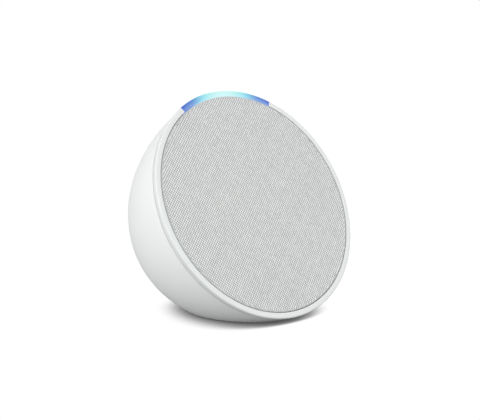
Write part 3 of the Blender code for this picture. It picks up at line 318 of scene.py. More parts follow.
# %% White ABS of the ring
# painted light: the cool tint of this colour stands for light spilt from the light bar
RING_ABS_PAINTED_SPILL, tree, shader = new_finish("ABS white, satin", "E5E8E7", 0.46, IOR=1.53)
grain(tree, shader, 0.5 * MM, 0.006 * MM, ("E2E5E4", "E8EBEA"), (0.42, 0.5))

# %% [markdown]
# **Black ABS.** Carriers, baffle and the power socket are black so that nothing shows through the
# cloth. They have a coarser grit and a slightly grey sheen.

# %% Black ABS
BLACK_ABS, tree, shader = new_finish("ABS black, fine grit", "1E1E20", 0.55, IOR=1.53)
grain(tree, shader, 0.4 * MM, 0.02 * MM, ("1A1A1C", "262628"), (0.48, 0.62))

# %% [markdown]
# **White silicone rubber.** The foot is compression moulded and left matt, so that it grips. It
# picks up a little dust, which shows as faint warm clouds.

# %% Silicone rubber
SILICONE, tree, shader = new_finish("silicone rubber white, matt", "D9D9D6", 0.85, IOR=1.41)
grain(tree, shader, 2.5 * MM, 0.02 * MM, ("D2D1CD", "DEDEDB"), (0.8, 0.92))


# %% [markdown]
# ## Turned shapes
# Nearly everything visible here is round about the axis of the face. One helper turns an outline
# of radius and height about that axis, another drops the result into the world, and a third
# carries the finished mesh on a body of the frame.

# %% Turning an outline
def turned(outline, sides=192, start=0.0, sweep=None, bm=None):
    """A closed (radius, z) outline turned about Z; angles run from +Y towards +X."""
    bm = bm or bmesh.new()
    whole = sweep is None
    count = sides if whole else sides + 1
    step = (math.tau if whole else sweep) / sides
    rings = []
    for radius, z in outline:
        if radius == 0 and whole:
            rings.append([bm.verts.new((0, 0, z))] * count)
            continue
        angles = [start + i * step for i in range(count)]
        rings.append([bm.verts.new((radius * math.sin(a), radius * math.cos(a), z)) for a in angles])
    for this, following in zip(rings, rings[1:] + rings[:1]):
        for i in range(sides):
            j = (i + 1) % count
            corners = list(dict.fromkeys([this[i], this[j], following[j], following[i]]))
            if len(corners) > 2:
                bm.faces.new(corners)
    if not whole:
        bm.faces.new([ring[0] for ring in rings])
        bm.faces.new([ring[-1] for ring in rings])
    bmesh.ops.recalc_face_normals(bm, faces=bm.faces)
    return bm


def rounded(points, radius, steps=4):
    """An outline with each corner that is listed with True replaced by an arc."""
    result = []
    count = len(points)
    for i, (x, z, soft) in enumerate(points):
        if not soft:
            result.append((x, z))
            continue
        here = Vector((x, z))
        before = (Vector(points[i - 1][:2]) - here).normalized()
        after = (Vector(points[(i + 1) % count][:2]) - here).normalized()
        half = before.angle(after) / 2
        reach = radius / math.tan(half)
        centre = here + (before + after).normalized() * radius / math.sin(half)
        first = (here + before * reach - centre).normalized()
        last = (here + after * reach - centre).normalized()
        for k in range(steps + 1):
            result.append(tuple(centre + first.slerp(last, k / steps) * radius))
    return result


def piece(name, bm, material, body=None, place=FACE, sharp=30):
    """A finished mesh object whose place is in its vertices, riding on a body."""
    bmesh.ops.transform(bm, matrix=place, verts=bm.verts)
    mesh = bpy.data.meshes.new(name)
    bm.to_mesh(mesh)
    bm.free()
    mesh.shade_smooth()
    mesh.set_sharp_from_angle(angle=math.radians(sharp))
    if material:
        mesh.materials.append(material)
    obj = bpy.data.objects.new(name, mesh)
    scene.collection.objects.link(obj)
    if body:
        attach(obj, body)
        print(name, len(mesh.polygons), "faces")
    return obj


def boolean(target, tools):
    """Cuts tool objects out of an object, one after another, and removes them."""
    for tool in tools:
        modifier = target.modifiers.new(tool.name, "BOOLEAN")
        modifier.operation = "DIFFERENCE"
        modifier.solver = "EXACT"
        modifier.object = tool
    graph = bpy.context.evaluated_depsgraph_get()
    mesh = bpy.data.meshes.new_from_object(target.evaluated_get(graph))
    target.modifiers.clear()
    old = target.data
    target.data = mesh
    mesh.name = target.name
    bpy.data.meshes.remove(old)
    for tool in tools:
        bpy.data.objects.remove(tool)
    mesh.shade_smooth()
    mesh.set_sharp_from_angle(angle=math.radians(30))
    return mesh


# %% [markdown]
# ## The dome
# The shell is turned as one closed solid and then machined as a real prototype would be: the
# base is sliced flat, the inside is hollowed, and the holes for buttons, microphones and the
# power socket go through the wall. A Boolean leaves long thin faces round each hole, which shade
# badly on a smooth surface, so the outer skin is given the exact normals of the ellipse.

# %% Rear shell
TABLE_GAP = 0.8 * MM
FOOT_TOP = 1.5 * MM
BUTTON_DEPTH = 22.0 * MM
BUTTON_SPACING = 16.5 * MM
BUTTON_RADIUS = 4.6 * MM
MIC_HOLE = 0.6 * MM
MIC_FORWARD = 5.0 * MM
BUTTON_CIRCLE = dome_radius(BUTTON_DEPTH)
BUTTON_TURN = BUTTON_SPACING / BUTTON_CIRCLE
SLOPE = Vector((BUTTON_CIRCLE / DOME_RADIUS**2, -BUTTON_DEPTH / DOME_DEPTH**2)).normalized()


def skin_frame(turn, forward=0.0):
    """A place on the dome's skin over the top: +Z along its normal, +Y towards the back."""
    outward = Vector((SLOPE[0] * math.sin(turn), SLOPE[0] * math.cos(turn), SLOPE[1]))
    across = Vector((math.cos(turn), -math.sin(turn), 0))
    backward = outward.cross(across)
    spot = Vector((BUTTON_CIRCLE * math.sin(turn), BUTTON_CIRCLE * math.cos(turn), -BUTTON_DEPTH))
    basis = Matrix((across, backward, outward)).transposed().to_4x4()
    return FACE @ Matrix.Translation(spot - backward * forward) @ basis


print("keys stand, mm from the face axis", round(BUTTON_CIRCLE / MM, 2))


# %% [markdown]
# Three more helpers give the dome's own section, its level section for the base, and the oval
# and round blocks that cut it.

# %% Sections and cutters
def dome_outline(front, inset, rows):
    """Half of the dome's section, from the face axis at the front round to the back."""
    radius = DOME_RADIUS - inset
    depth = DOME_DEPTH - inset
    first = math.asin(front / depth)
    turns = [first + (math.pi / 2 - first) * i / rows for i in range(rows)]
    return [(0, -front), *[(radius * math.cos(t), -depth * math.sin(t)) for t in turns], (0, -depth)]


def dome_section(height):
    """Half width, half length and middle of the dome's level section at a height."""
    drop = math.hypot(DOME_DEPTH * SINE, DOME_RADIUS * COSINE)
    below = FACE_MIDDLE.z - height
    share = math.sqrt(1 - (below / drop) ** 2)
    middle = FACE_MIDDLE.y + below * (DOME_DEPTH**2 - DOME_RADIUS**2) * SINE * COSINE / drop**2
    return DOME_RADIUS * share, DOME_RADIUS * DOME_DEPTH / drop * share, middle


def oval_prism(half_x, half_y, middle, bottom, top, sides=96, edge=0.0):
    """An upright oval block, with its lower edge rounded."""
    rows = [(bottom, edge), (bottom + edge * 0.3, edge * 0.3), (bottom + edge, 0.0), (top, 0.0)]
    bm = bmesh.new()
    rings = []
    for z, inset in rows if edge else [(bottom, 0.0), (top, 0.0)]:
        ring = []
        for i in range(sides):
            t = math.tau * i / sides
            x, y = (half_x - inset) * math.cos(t), middle + (half_y - inset) * math.sin(t)
            ring.append(bm.verts.new((x, y, z)))
        rings.append(ring)
    for this, following in zip(rings, rings[1:]):
        for i in range(sides):
            j = (i + 1) % sides
            bm.faces.new([this[i], this[j], following[j], following[i]])
    bm.faces.new(rings[0])
    bm.faces.new(rings[-1])
    bmesh.ops.recalc_face_normals(bm, faces=bm.faces)
    return bm


def peg(radius, bottom, top, place, sides=48, name="peg"):
    """A round cutter that stands along the Z of a place."""
    outline = [(0, bottom), (radius, bottom), (radius, top), (0, top)]
    return piece(name, turned(outline, sides), None, place=place)


foot_x, foot_y, foot_middle = dome_section(TABLE_GAP)
print("flat of the base, mm", round(2 * foot_x / MM, 1), round(2 * foot_y / MM, 1))

# %% [markdown]
# The hollow inside keeps a thick floor, three bosses for the base screws and two posts for the
# power board. Their places come from the screws and the board of the frame.

# %% Hollow of the shell
HERE = Matrix.Identity(4)
BLOCK = 300 * MM
BOSS_RADIUS = 3.6 * MM
BOSS_TOP = 6.0 * MM
HEAD_HOLE = 2.3 * MM
HEAD_HOLE_TOP = 3.4 * MM
SCREW_HOLE = 1.3 * MM
POST_RADIUS = 2.2 * MM
POST_HOLE_DEPTH = 6.0 * MM
shell = piece("dome_shell", turned(dome_outline(RING_FLANGE + GAP, 0, 64), 192), WHITE_ABS)
inner = piece("cavity", turned(dome_outline(0, SHELL_WALL, 20), 64), None)
block = bmesh.new()
floor_top = FOOT_TOP + SHELL_WALL
bmesh.ops.create_cube(block, size=BLOCK, matrix=Matrix.Translation((0, 0, floor_top - BLOCK / 2)))
spared = [piece("floor", block, None, place=HERE)]
below_base = []
for number in (1, 2, 3):
    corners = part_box(f"base_screw_{number}")
    upright = Matrix.Translation(((corners[0].x + corners[1].x) / 2, (corners[0].y + corners[1].y) / 2, 0))
    spared.append(peg(BOSS_RADIUS, -GAP, BOSS_TOP, upright, 32, "boss"))
    below_base.append(peg(HEAD_HOLE, 0, HEAD_HOLE_TOP, upright, 32, "counterbore"))
    below_base.append(peg(SCREW_HOLE, 0, 2 * BOSS_TOP, upright, 24, "screw_hole"))
board_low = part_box("power_board")[0]
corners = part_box("power_screw")
for side in (-1, 1):
    across = side * abs(corners[0].x + corners[1].x) / 2
    upright = Matrix.Translation((across, (corners[0].y + corners[1].y) / 2, 0))
    spared.append(peg(POST_RADIUS, -GAP, board_low.z - GAP, upright, 24, "post"))
    below_base.append(peg(SCREW_HOLE, board_low.z - POST_HOLE_DEPTH, board_low.z, upright, 24, "post_hole"))
print("hollow", len(boolean(inner, spared).polygons), "faces")

# %% [markdown]
# Everything else is cut from outside: the base, the recess of the foot, the rebate behind the
# ring, the socket's hole, the wells of the keys and the two microphone holes.

# %% Holes through the shell
FOOT_MARGIN = 3.8 * MM
INLET_HEIGHT = 17.0 * MM
INLET_HOLE = 4.4 * MM
INLET_REACH = (15 * MM, 60 * MM)
WELL_DEPTH = 8.0 * MM
MIC_DEPTH = 6.0 * MM
ABOVE_SKIN = 3.0 * MM
REBATE_RADIUS = 47.9 * MM
REBATE_DEPTH = 5.5 * MM
slab = bmesh.new()
bmesh.ops.create_cube(slab, size=BLOCK, matrix=Matrix.Translation((0, 0, TABLE_GAP - BLOCK / 2)))
recess = oval_prism(foot_x - FOOT_MARGIN + GAP, foot_y - FOOT_MARGIN + GAP, foot_middle, -MM, FOOT_TOP)
socket = Matrix.Translation((0, 0, INLET_HEIGHT)) @ Matrix.Rotation(-math.pi / 2, 4, "X")
cutters = [
    piece("base_plane", slab, None, place=HERE),
    inner,
    peg(REBATE_RADIUS, -REBATE_DEPTH, 0.0, FACE, 128, "tongue_rebate"),
    piece("foot_recess", recess, None, place=HERE),
    *below_base,
    peg(INLET_HOLE, *INLET_REACH, socket, 64, "inlet_hole"),
]
for turn in (-BUTTON_TURN, 0, BUTTON_TURN):
    well = skin_frame(turn)
    cutters.append(peg(BUTTON_RADIUS + GAP, -WELL_DEPTH, ABOVE_SKIN, well, 72, "button_hole"))
for turn in (-BUTTON_TURN / 2, BUTTON_TURN / 2):
    spot = skin_frame(turn, MIC_FORWARD)
    cutters.append(peg(MIC_HOLE, -MIC_DEPTH, ABOVE_SKIN, spot, 24, "mic_hole"))
skin = boolean(shell, cutters)
print("dome_shell", len(skin.polygons), "faces")

# %% [markdown]
# A Boolean could be smoothed with a weighted-normal modifier, but the long faces round the holes
# would still pull on it. Here the true surface is known, so each corner that lies on the ellipse
# gets the ellipse's own normal, and the rims of the holes stay crisp.

# %% Exact normals for the outer skin
ON_ELLIPSE = 5e-4
FACES_OUT = 0.9


def follow_dome(mesh):
    """Gives the outer skin the exact normals of the ellipse, and leaves the rest as it is."""
    to_face = np.array(FACE.inverted())
    turn = np.array(FACE.to_3x3())
    spots = np.empty(len(mesh.vertices) * 3)
    mesh.vertices.foreach_get("co", spots)
    spots = spots.reshape(-1, 3) @ to_face[:3, :3].T + to_face[:3, 3]
    scale = np.array([DOME_RADIUS, DOME_RADIUS, DOME_DEPTH])
    onto = np.abs(((spots / scale) ** 2).sum(1) - 1) < ON_ELLIPSE
    exact = spots / scale**2
    exact = (exact / np.maximum(np.linalg.norm(exact, axis=1, keepdims=True), 1e-9)) @ turn.T
    corners = np.empty(len(mesh.loops), np.int64)
    mesh.loops.foreach_get("vertex_index", corners)
    kept = np.empty(len(mesh.loops) * 3, np.float32)
    mesh.corner_normals.foreach_get("vector", kept)
    kept = kept.reshape(-1, 3).astype(float)
    faces = np.array([p.normal for p in mesh.polygons])
    sizes = np.array([p.loop_total for p in mesh.polygons])
    owner = np.repeat(np.arange(len(sizes)), sizes)
    smooth = onto[corners] & ((faces[owner] * exact[corners]).sum(1) > FACES_OUT)
    kept[smooth] = exact[corners][smooth]
    mesh.normals_split_custom_set([tuple(n) for n in kept])
    return int(smooth.sum())


print("dome_shell", follow_dome(skin), "corners on the ellipse")
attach(shell, "housing")
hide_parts("rear_shell")

# %% [markdown]
# ## The trim ring and the light bar
# The ring is one moulding with a narrow face, a small radius on its outer edge and a lip that
# stands just proud of the dome, so a line of shade runs all round it. A gap in its top takes the
# light bar, which is moulded in a milky resin to the same outline, so the two read as one band.

# %% Outline of the ring
EDGE = 0.4 * MM
RIM_LIP = 0.85 * MM
RIM_SHOULDER = 2.5 * MM


def rim_outline(inner_radius):
    """The face and the outer skin of the rim, from the cloth's recess to the shell's edge."""
    return [
        (inner_radius, 0, True),
        (RIM_RADIUS, 0, True),
        (RIM_RADIUS, -RIM_LIP, True),
        (dome_radius(RIM_SHOULDER), -RIM_SHOULDER, False),
        (dome_radius(RING_FLANGE), -RING_FLANGE, False),
    ]


def soft_outline(points, radii, steps=5):
    """Rounds each marked corner with its own radius."""
    result = []
    for i, point in enumerate(points):
        around = [points[i - 1], point, points[(i + 1) % len(points)]]
        plain = [(x, z, k == 1 and point[2]) for k, (x, z, _) in enumerate(around)]
        result += rounded(plain, radii.get(i, EDGE), steps)[1:-1]
    return result


TONGUE = 47.6 * MM
TONGUE_WALL = 1.2 * MM
TONGUE_END = 5.2 * MM
LEDGE = 45.2 * MM
LEDGE_FRONT = 2.2 * MM
LEDGE_BACK = 3.0 * MM
ring_points = [
    *rim_outline(RECESS_RADIUS),
    (TONGUE, -RING_FLANGE, False),
    (TONGUE, -TONGUE_END, False),
    (TONGUE - TONGUE_WALL, -TONGUE_END, False),
    (TONGUE - TONGUE_WALL, -LEDGE_BACK, False),
    (LEDGE, -LEDGE_BACK, False),
    (LEDGE, -LEDGE_FRONT, False),
    (RECESS_RADIUS, -LEDGE_FRONT, False),
]
RIM_RADII = {0: 0.15 * MM, 1: 0.55 * MM, 2: 0.25 * MM}
ring_outline = soft_outline(ring_points, RIM_RADII)
END_GAP = 0.12 * MM
slot_turn = LIGHT_SPAN / 2 + END_GAP / RIM_RADIUS
ring = piece(
    "trim_ring_band",
    turned(ring_outline, 240, slot_turn, math.tau - 2 * slot_turn),
    RING_ABS_PAINTED_SPILL,
    "housing",
    sharp=35,
)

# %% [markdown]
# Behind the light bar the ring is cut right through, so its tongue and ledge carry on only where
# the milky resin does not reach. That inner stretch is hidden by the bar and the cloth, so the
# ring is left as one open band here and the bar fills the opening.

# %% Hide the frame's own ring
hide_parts("trim_ring")

# %% [markdown]
# **Milky polycarbonate, lit from behind.** Light diodes shine into the bar through a clear guide.
# The resin scatters it, so the whole band glows: deep blue at the two ends, through sky blue, to
# an almost white cyan in the middle. The colour is a ramp on the angle round the face, stored on
# the mesh as an attribute, and the glow is strong enough to tint the ring and cloth beside it.

# %% Light bar finish
LIT_PC = bpy.data.materials.new("polycarbonate milky, lit")
LIT_PC.use_nodes = True
tree = LIT_PC.node_tree
shader = tree.nodes["Principled BSDF"]
shader.inputs["Roughness"].default_value = 0.32
shader.inputs["IOR"].default_value = 1.58
shader.inputs["Specular IOR Level"].default_value = 0.3
angle = add_node(tree, "ShaderNodeAttribute", {"attribute_name": "along_bar"})
ramp = add_node(tree, "ShaderNodeValToRGB", links={"Fac": angle.outputs["Fac"]})
BAR_COLOURS = [
    (0.0, "C5F1EE"),
    (0.17, "BFEDEC"),
    (0.31, "ABE7E7"),
    (0.43, "93DDE8"),
    (0.53, "7BC6E0"),
    (0.64, "60A3D2"),
    (0.74, "4F82CE"),
    (0.9, "4472C4"),
    (1.0, "365CCC"),
]
set_stops(ramp, [(along, linear(colour)) for along, colour in BAR_COLOURS])
body_tone = add_node(
    tree,
    "ShaderNodeMix",
    {"data_type": "RGBA", "blend_type": "MULTIPLY", 0: 1.0, 7: (0.04, 0.04, 0.04, 1)},
    {6: ramp.outputs["Color"]},
)
edge_glow = add_node(tree, "ShaderNodeAttribute", {"attribute_name": "edge_glow"})
glow = add_node(
    tree,
    "ShaderNodeMix",
    {"data_type": "RGBA", 7: linear("D6EBFF")},
    {0: edge_glow.outputs["Fac"], 6: ramp.outputs["Color"]},
)
tree.links.new(body_tone.outputs[2], shader.inputs["Base Color"])
tree.links.new(glow.outputs[2], shader.inputs["Emission Color"])
shader.inputs["Emission Strength"].default_value = 1.0
print("finish", LIT_PC.name, len(BAR_COLOURS), "colours along the bar")

# %% Light bar
BAR_WALL = 1.1 * MM
BAR_END = 4.9 * MM
EDGE_GLOW = 0.35
GLOW_WIDTH = 0.35 * MM
bar_points = [
    *rim_outline(RECESS_RADIUS),
    (TONGUE, -RING_FLANGE, False),
    (TONGUE, -BAR_END, False),
    (TONGUE - BAR_WALL, -BAR_END, False),
    (TONGUE - BAR_WALL, -LEDGE_FRONT, False),
    (RECESS_RADIUS, -LEDGE_FRONT, False),
]
bar_outline = soft_outline(bar_points, RIM_RADII)
bar = piece(
    "light_bar_diffuser",
    turned(bar_outline, 72, -LIGHT_SPAN / 2, LIGHT_SPAN),
    LIT_PC,
    "housing",
    sharp=35,
)


def mark_bar(mesh):
    """Stores how far along the bar each point is, and how near the bright inner edge."""
    along = mesh.attributes.new("along_bar", "FLOAT", "POINT")
    edge = mesh.attributes.new("edge_glow", "FLOAT", "POINT")
    to_face = FACE.inverted()
    for vertex in mesh.vertices:
        spot = to_face @ vertex.co
        turn = abs(math.atan2(spot.x, spot.y)) / (LIGHT_SPAN / 2)
        radius = math.hypot(spot.x, spot.y)
        near = 1 - min(1, abs(radius - RECESS_RADIUS) / GLOW_WIDTH)
        along.data[vertex.index].value = min(1.0, turn)
        edge.data[vertex.index].value = EDGE_GLOW * near * (1.0 if spot.z > -MM else 0.3)


mark_bar(bar.data)
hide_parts("light_bar_lens")

# %% [markdown]
# ## The cloth
# A disc of grey polyester cloth, 97 mm across, is pulled flat over a perforated carrier, turned
# down round its edge and bonded. It is a plain weave of soft, thick yarn, laid at 45 degrees. The
# disc is a fine square mesh cut to a circle, and a Geometry Nodes tree raises each yarn where it
# passes over and sinks it where it passes under, which is the rule that makes a plain weave.

# %% Woven cloth finish
CLOTH, tree, shader = new_finish("polyester cloth, plain weave", "C4C5C3", 0.92, IOR=1.5)
shader.inputs["Sheen Weight"].default_value = 0.25
shader.inputs["Sheen Roughness"].default_value = 0.5
shader.inputs["Specular IOR Level"].default_value = 0.25
relief = add_node(tree, "ShaderNodeAttribute", {"attribute_name": "yarn_relief"})
lot = add_node(tree, "ShaderNodeAttribute", {"attribute_name": "yarn_lot"})
# painted shade: low points of the weave get a dark colour, crowns a pale one
painted_gap_shade = add_node(tree, "ShaderNodeValToRGB", links={"Fac": relief.outputs["Fac"]})
set_stops(painted_gap_shade, [(0.05, linear("454746")), (0.68, linear("F4F6F5"))])
lot_tone = add_node(
    tree,
    "ShaderNodeMapRange",
    {"To Min": 0.9, "To Max": 1.12},
    {"Value": lot.outputs["Fac"]},
)
tinted = add_node(
    tree,
    "ShaderNodeMix",
    {"data_type": "RGBA", "blend_type": "MULTIPLY", 0: 1.0},
    {6: painted_gap_shade.outputs["Color"], 7: lot_tone.outputs["Result"]},
)
place = add_node(tree, "ShaderNodeTexCoord")
fibre = add_node(
    tree, "ShaderNodeTexNoise", {"Scale": 1 / (0.12 * MM), "Detail": 2.0}, {"Vector": place.outputs["Object"]}
)
fuzz = add_node(
    tree, "ShaderNodeBump", {"Strength": 0.6, "Distance": 0.03 * MM}, {"Height": fibre.outputs["Fac"]}
)
tree.links.new(tinted.outputs[2], shader.inputs["Base Color"])
tree.links.new(fuzz.outputs["Normal"], shader.inputs["Normal"])

# %% The disc of cloth, flat on the carrier and turned down at its edge
CLOTH_RADIUS = RECESS_RADIUS - GAP
EDGE_BEND = 0.3 * MM
YARN_PITCH = 0.9 * MM
STEP = YARN_PITCH / 3
RELIEF = 0.16 * MM
FLAT_RADIUS = CLOTH_RADIUS - EDGE_BEND
CUT_RADIUS = FLAT_RADIUS + EDGE_BEND * math.pi / 2 + FRAME_DEPTH - EDGE_BEND


def cloth_disc():
    """A square mesh at 45 degrees cut to a circle, with its edge turned down over the carrier."""
    bm = bmesh.new()
    reach = math.ceil(FLAT_RADIUS / STEP)
    verts = {}
    for i in range(-reach, reach + 1):
        for j in range(-reach, reach + 1):
            u, v = i * STEP, j * STEP
            if math.hypot(u, v) < FLAT_RADIUS - 0.55 * STEP:
                x, y = (u - v) / math.sqrt(2), (u + v) / math.sqrt(2)
                verts[i, j] = bm.verts.new((x, y, 0))
    for i, j in verts:
        square = [verts.get(key) for key in ((i, j), (i + 1, j), (i + 1, j + 1), (i, j + 1))]
        if None not in square:
            bm.faces.new(square)
    loose = [v for v in bm.verts if not v.link_faces]
    bmesh.ops.delete(bm, geom=loose, context="VERTS")
    outer = [e for e in bm.edges if e.is_boundary]
    turns = [math.pi / 2 * k / 3 for k in range(4)]
    rows = [(FLAT_RADIUS + EDGE_BEND * math.sin(t), EDGE_BEND * (math.cos(t) - 1)) for t in turns]
    rows.append((CLOTH_RADIUS, -FRAME_DEPTH))
    for radius, z in rows:
        made = bmesh.ops.extrude_edge_only(bm, edges=outer)["geom"]
        outer = [e for e in made if isinstance(e, bmesh.types.BMEdge) and e.is_boundary]
        for vert in {v for e in outer for v in e.verts}:
            along = Vector(vert.co[:2]).normalized() * radius
            vert.co = (along.x, along.y, z)
    bmesh.ops.recalc_face_normals(bm, faces=bm.faces)
    if sum(face.normal.z * face.calc_area() for face in bm.faces) < 0:
        bmesh.ops.reverse_faces(bm, faces=bm.faces)
    return bm


flat_bm = cloth_disc()
layer = flat_bm.loops.layers.uv.new("flat_cut")
for face in flat_bm.faces:
    for loop in face.loops:
        spot = loop.vert.co
        radius = math.hypot(spot.x, spot.y)
        run = radius - min(0.0, spot.z)
        share = run / max(radius, 1e-9) / (2 * CUT_RADIUS)
        loop[layer].uv = (0.5 + spot.x * share, 0.5 + spot.y * share)
cloth_mesh = bpy.data.meshes.new("grille_cloth")
flat_bm.to_mesh(cloth_mesh)
flat_bm.free()
cloth = bpy.data.objects.new("grille_cloth", cloth_mesh)
scene.collection.objects.link(cloth)
print("cloth cut, mm across", round(2 * CUT_RADIUS / MM, 1), "faces", len(cloth_mesh.polygons))

# %% [markdown]
# The weave itself is a rule, so it is a node tree. It numbers the crossings by rounding, takes the
# warp as the upper yarn where the two numbers add up to an even one and the weft elsewhere, and
# raises a crown that is long along the upper yarn and falls off quickly across it. It also stores
# how high each point sits and which dye lot its yarn is from, so the finish can paint shade into
# the gaps, darker the lower a point sits, and vary the threads. The relief fades out over the last
# third of a thread at the edge. Real yarn at 0.45 mm would be too fine to see, so it is drawn at
# 0.9 mm.


# %% The plain weave as a node tree
def new_tree(name, sockets):
    """A geometry tree with a geometry input and output and named inputs."""
    tree = bpy.data.node_groups.new(name, "GeometryNodeTree")
    tree.interface.new_socket("Geometry", in_out="INPUT", socket_type="NodeSocketGeometry")
    for label, kind in sockets:
        tree.interface.new_socket(label, in_out="INPUT", socket_type=kind)
    tree.interface.new_socket("Geometry", in_out="OUTPUT", socket_type="NodeSocketGeometry")
    return tree, add_node(tree, "NodeGroupInput")


def sums(tree, operation, first, second=None, third=None):
    """One step of arithmetic between sockets or numbers."""
    given = {0: first, 1: second, 2: third}
    values = {k: v for k, v in given.items() if isinstance(v, (int, float))}
    links = {k: v for k, v in given.items() if v is not None and k not in values}
    return add_node(tree, "ShaderNodeMath", {"operation": operation, **values}, links).outputs[0]


def bake_tree(obj, tree, values):
    """Runs a node tree on an object with its inputs set, and keeps the plain mesh."""
    modifier = obj.modifiers.new(tree.name, "NODES")
    modifier.node_group = tree
    for item in tree.interface.items_tree:
        if item.item_type == "SOCKET" and item.in_out == "INPUT" and item.name in values:
            modifier[item.identifier] = values[item.name]
    graph = bpy.context.evaluated_depsgraph_get()
    mesh = bpy.data.meshes.new_from_object(obj.evaluated_get(graph))
    obj.modifiers.clear()
    old = obj.data
    obj.data = mesh
    mesh.name = obj.name
    bpy.data.meshes.remove(old)
    return mesh


weave, given = new_tree(
    "plain weave",
    [
        ("Pitch", "NodeSocketFloat"),
        ("Relief", "NodeSocketFloat"),
        ("Edge Radius", "NodeSocketFloat"),
        ("Seed", "NodeSocketInt"),
        ("Material", "NodeSocketMaterial"),
    ],
)
where = add_node(weave, "GeometryNodeInputPosition")
spot = add_node(weave, "ShaderNodeSeparateXYZ", links={0: where.outputs[0]})
x, y = spot.outputs[0], spot.outputs[1]
pitch = sums(weave, "MULTIPLY", given.outputs["Pitch"], math.sqrt(2))
u = sums(weave, "DIVIDE", sums(weave, "ADD", x, y), pitch)
v = sums(weave, "DIVIDE", sums(weave, "SUBTRACT", y, x), pitch)
warp = sums(weave, "ROUND", u)
weft = sums(weave, "ROUND", v)
across = sums(weave, "POWER", sums(weave, "ABSOLUTE", sums(weave, "SUBTRACT", u, warp)), 2.0)
along = sums(weave, "POWER", sums(weave, "ABSOLUTE", sums(weave, "SUBTRACT", v, weft)), 2.0)
odd = sums(weave, "ABSOLUTE", sums(weave, "MODULO", sums(weave, "ADD", warp, weft), 2.0))


def either(first, second):
    """The first value where the warp is on top, the second where the weft is."""
    node = add_node(weave, "ShaderNodeMix", {"data_type": "FLOAT"}, {0: odd, 2: first, 3: second})
    return node.outputs[0]


FALL_ACROSS = 5.6
FALL_ALONG = 1.3
EDGE_HEIGHT = 0.42
crown = sums(weave, "MULTIPLY_ADD", either(across, along), -FALL_ACROSS, 1.0)
crown = sums(weave, "MULTIPLY_ADD", either(along, across), -FALL_ALONG, crown)
square = sums(weave, "ADD", sums(weave, "MULTIPLY", x, x), sums(weave, "MULTIPLY", y, y))
radius = sums(weave, "SQRT", square)
inside = sums(weave, "SUBTRACT", given.outputs["Edge Radius"], radius)
inside = sums(weave, "DIVIDE", sums(weave, "MULTIPLY", inside, 3.0), given.outputs["Pitch"])
inside = add_node(weave, "ShaderNodeClamp", links={0: inside}).outputs[0]
rise = sums(weave, "MULTIPLY", sums(weave, "SUBTRACT", crown, 1.0), given.outputs["Relief"])
lift = add_node(weave, "ShaderNodeCombineXYZ", links={2: sums(weave, "MULTIPLY", rise, inside)})
moved = add_node(
    weave, "GeometryNodeSetPosition", links={"Geometry": given.outputs["Geometry"], "Offset": lift.outputs[0]}
)
thread = sums(weave, "ADD", either(warp, sums(weave, "ADD", weft, 500.0)), 1000.0)
crossing = sums(weave, "MULTIPLY_ADD", warp, 311.0, sums(weave, "ADD", weft, 40000.0))
lots = [
    add_node(
        weave,
        "FunctionNodeRandomValue",
        {"data_type": "FLOAT"},
        {"ID": number, "Seed": given.outputs["Seed"]},
    ).outputs[1]
    for number in (thread, crossing)
]
lot = sums(weave, "MULTIPLY_ADD", lots[0], 0.35, sums(weave, "MULTIPLY", lots[1], 0.65))
height = sums(weave, "MULTIPLY", sums(weave, "SUBTRACT", crown, EDGE_HEIGHT), inside)
height = sums(weave, "ADD", height, EDGE_HEIGHT)
for label, value in (("yarn_relief", height), ("yarn_lot", lot)):
    moved = add_node(
        weave,
        "GeometryNodeStoreNamedAttribute",
        {"Name": label, "data_type": "FLOAT", "domain": "POINT"},
        {"Geometry": moved.outputs[0], "Value": value},
    )
whole = add_node(weave, "GeometryNodeRealizeInstances", links={0: moved.outputs[0]})
dyed = add_node(
    weave,
    "GeometryNodeSetMaterial",
    links={"Geometry": whole.outputs[0], "Material": given.outputs["Material"]},
)
add_node(weave, "NodeGroupOutput", links={0: dyed.outputs[0]})

woven = bake_tree(
    cloth,
    weave,
    {
        "Pitch": YARN_PITCH,
        "Relief": RELIEF,
        "Edge Radius": FLAT_RADIUS - STEP,
        "Seed": 7,
        "Material": CLOTH,
    },
)
woven.transform(FACE)
woven.shade_smooth()
if not woven.materials:
    woven.materials.append(CLOTH)
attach(cloth, "housing")
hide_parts("grille_fabric")
print("grille_cloth", len(woven.polygons), "faces")

# %% [markdown]
# ## The buttons
# Three round keys follow the curve of the dome across its top. Each is one moulding: a crowned
# cap with a small edge radius, a flange that stops it falling out, and a stem that presses a dome
# switch. Their symbols are pad printed, a film of grey ink 0.02 mm proud of the plastic.

# %% Printed ink
INK, tree, shader = new_finish("pad-printing ink grey", "7D8184", 0.6, IOR=1.5)
grain(tree, shader, 0.3 * MM, 0.004 * MM, ("777B7E", "85898C"), (0.52, 0.66))

# %% Keys
PROUD = 0.25 * MM
FLANGE_FRONT = 2.643 * MM
FLANGE_BACK = 3.443 * MM
STEM_END = 4.343 * MM
STEM = 1.3 * MM


def key_outline():
    """A crowned cap on a flange and a stem, from the middle of the top round to the stem."""
    crown_radii = [0.0, 0.9 * MM, 1.8 * MM, 2.7 * MM, 3.5 * MM]
    top = [(r, PROUD - r * r / (2 * BUTTON_CIRCLE), False) for r in crown_radii]
    edge = PROUD - BUTTON_RADIUS**2 / (2 * BUTTON_CIRCLE)
    sides = [
        (BUTTON_RADIUS, edge, True),
        (BUTTON_RADIUS, -FLANGE_FRONT, False),
        (BUTTON_RADIUS + MM, -FLANGE_FRONT, False),
        (BUTTON_RADIUS + MM, -FLANGE_BACK, False),
        (STEM, -FLANGE_BACK, False),
        (STEM, -STEM_END, False),
        (0.0, -STEM_END, False),
    ]
    return soft_outline(top + sides, {len(top): 0.3 * MM}, 5)


print("outline of a key,", len(key_outline()), "points")

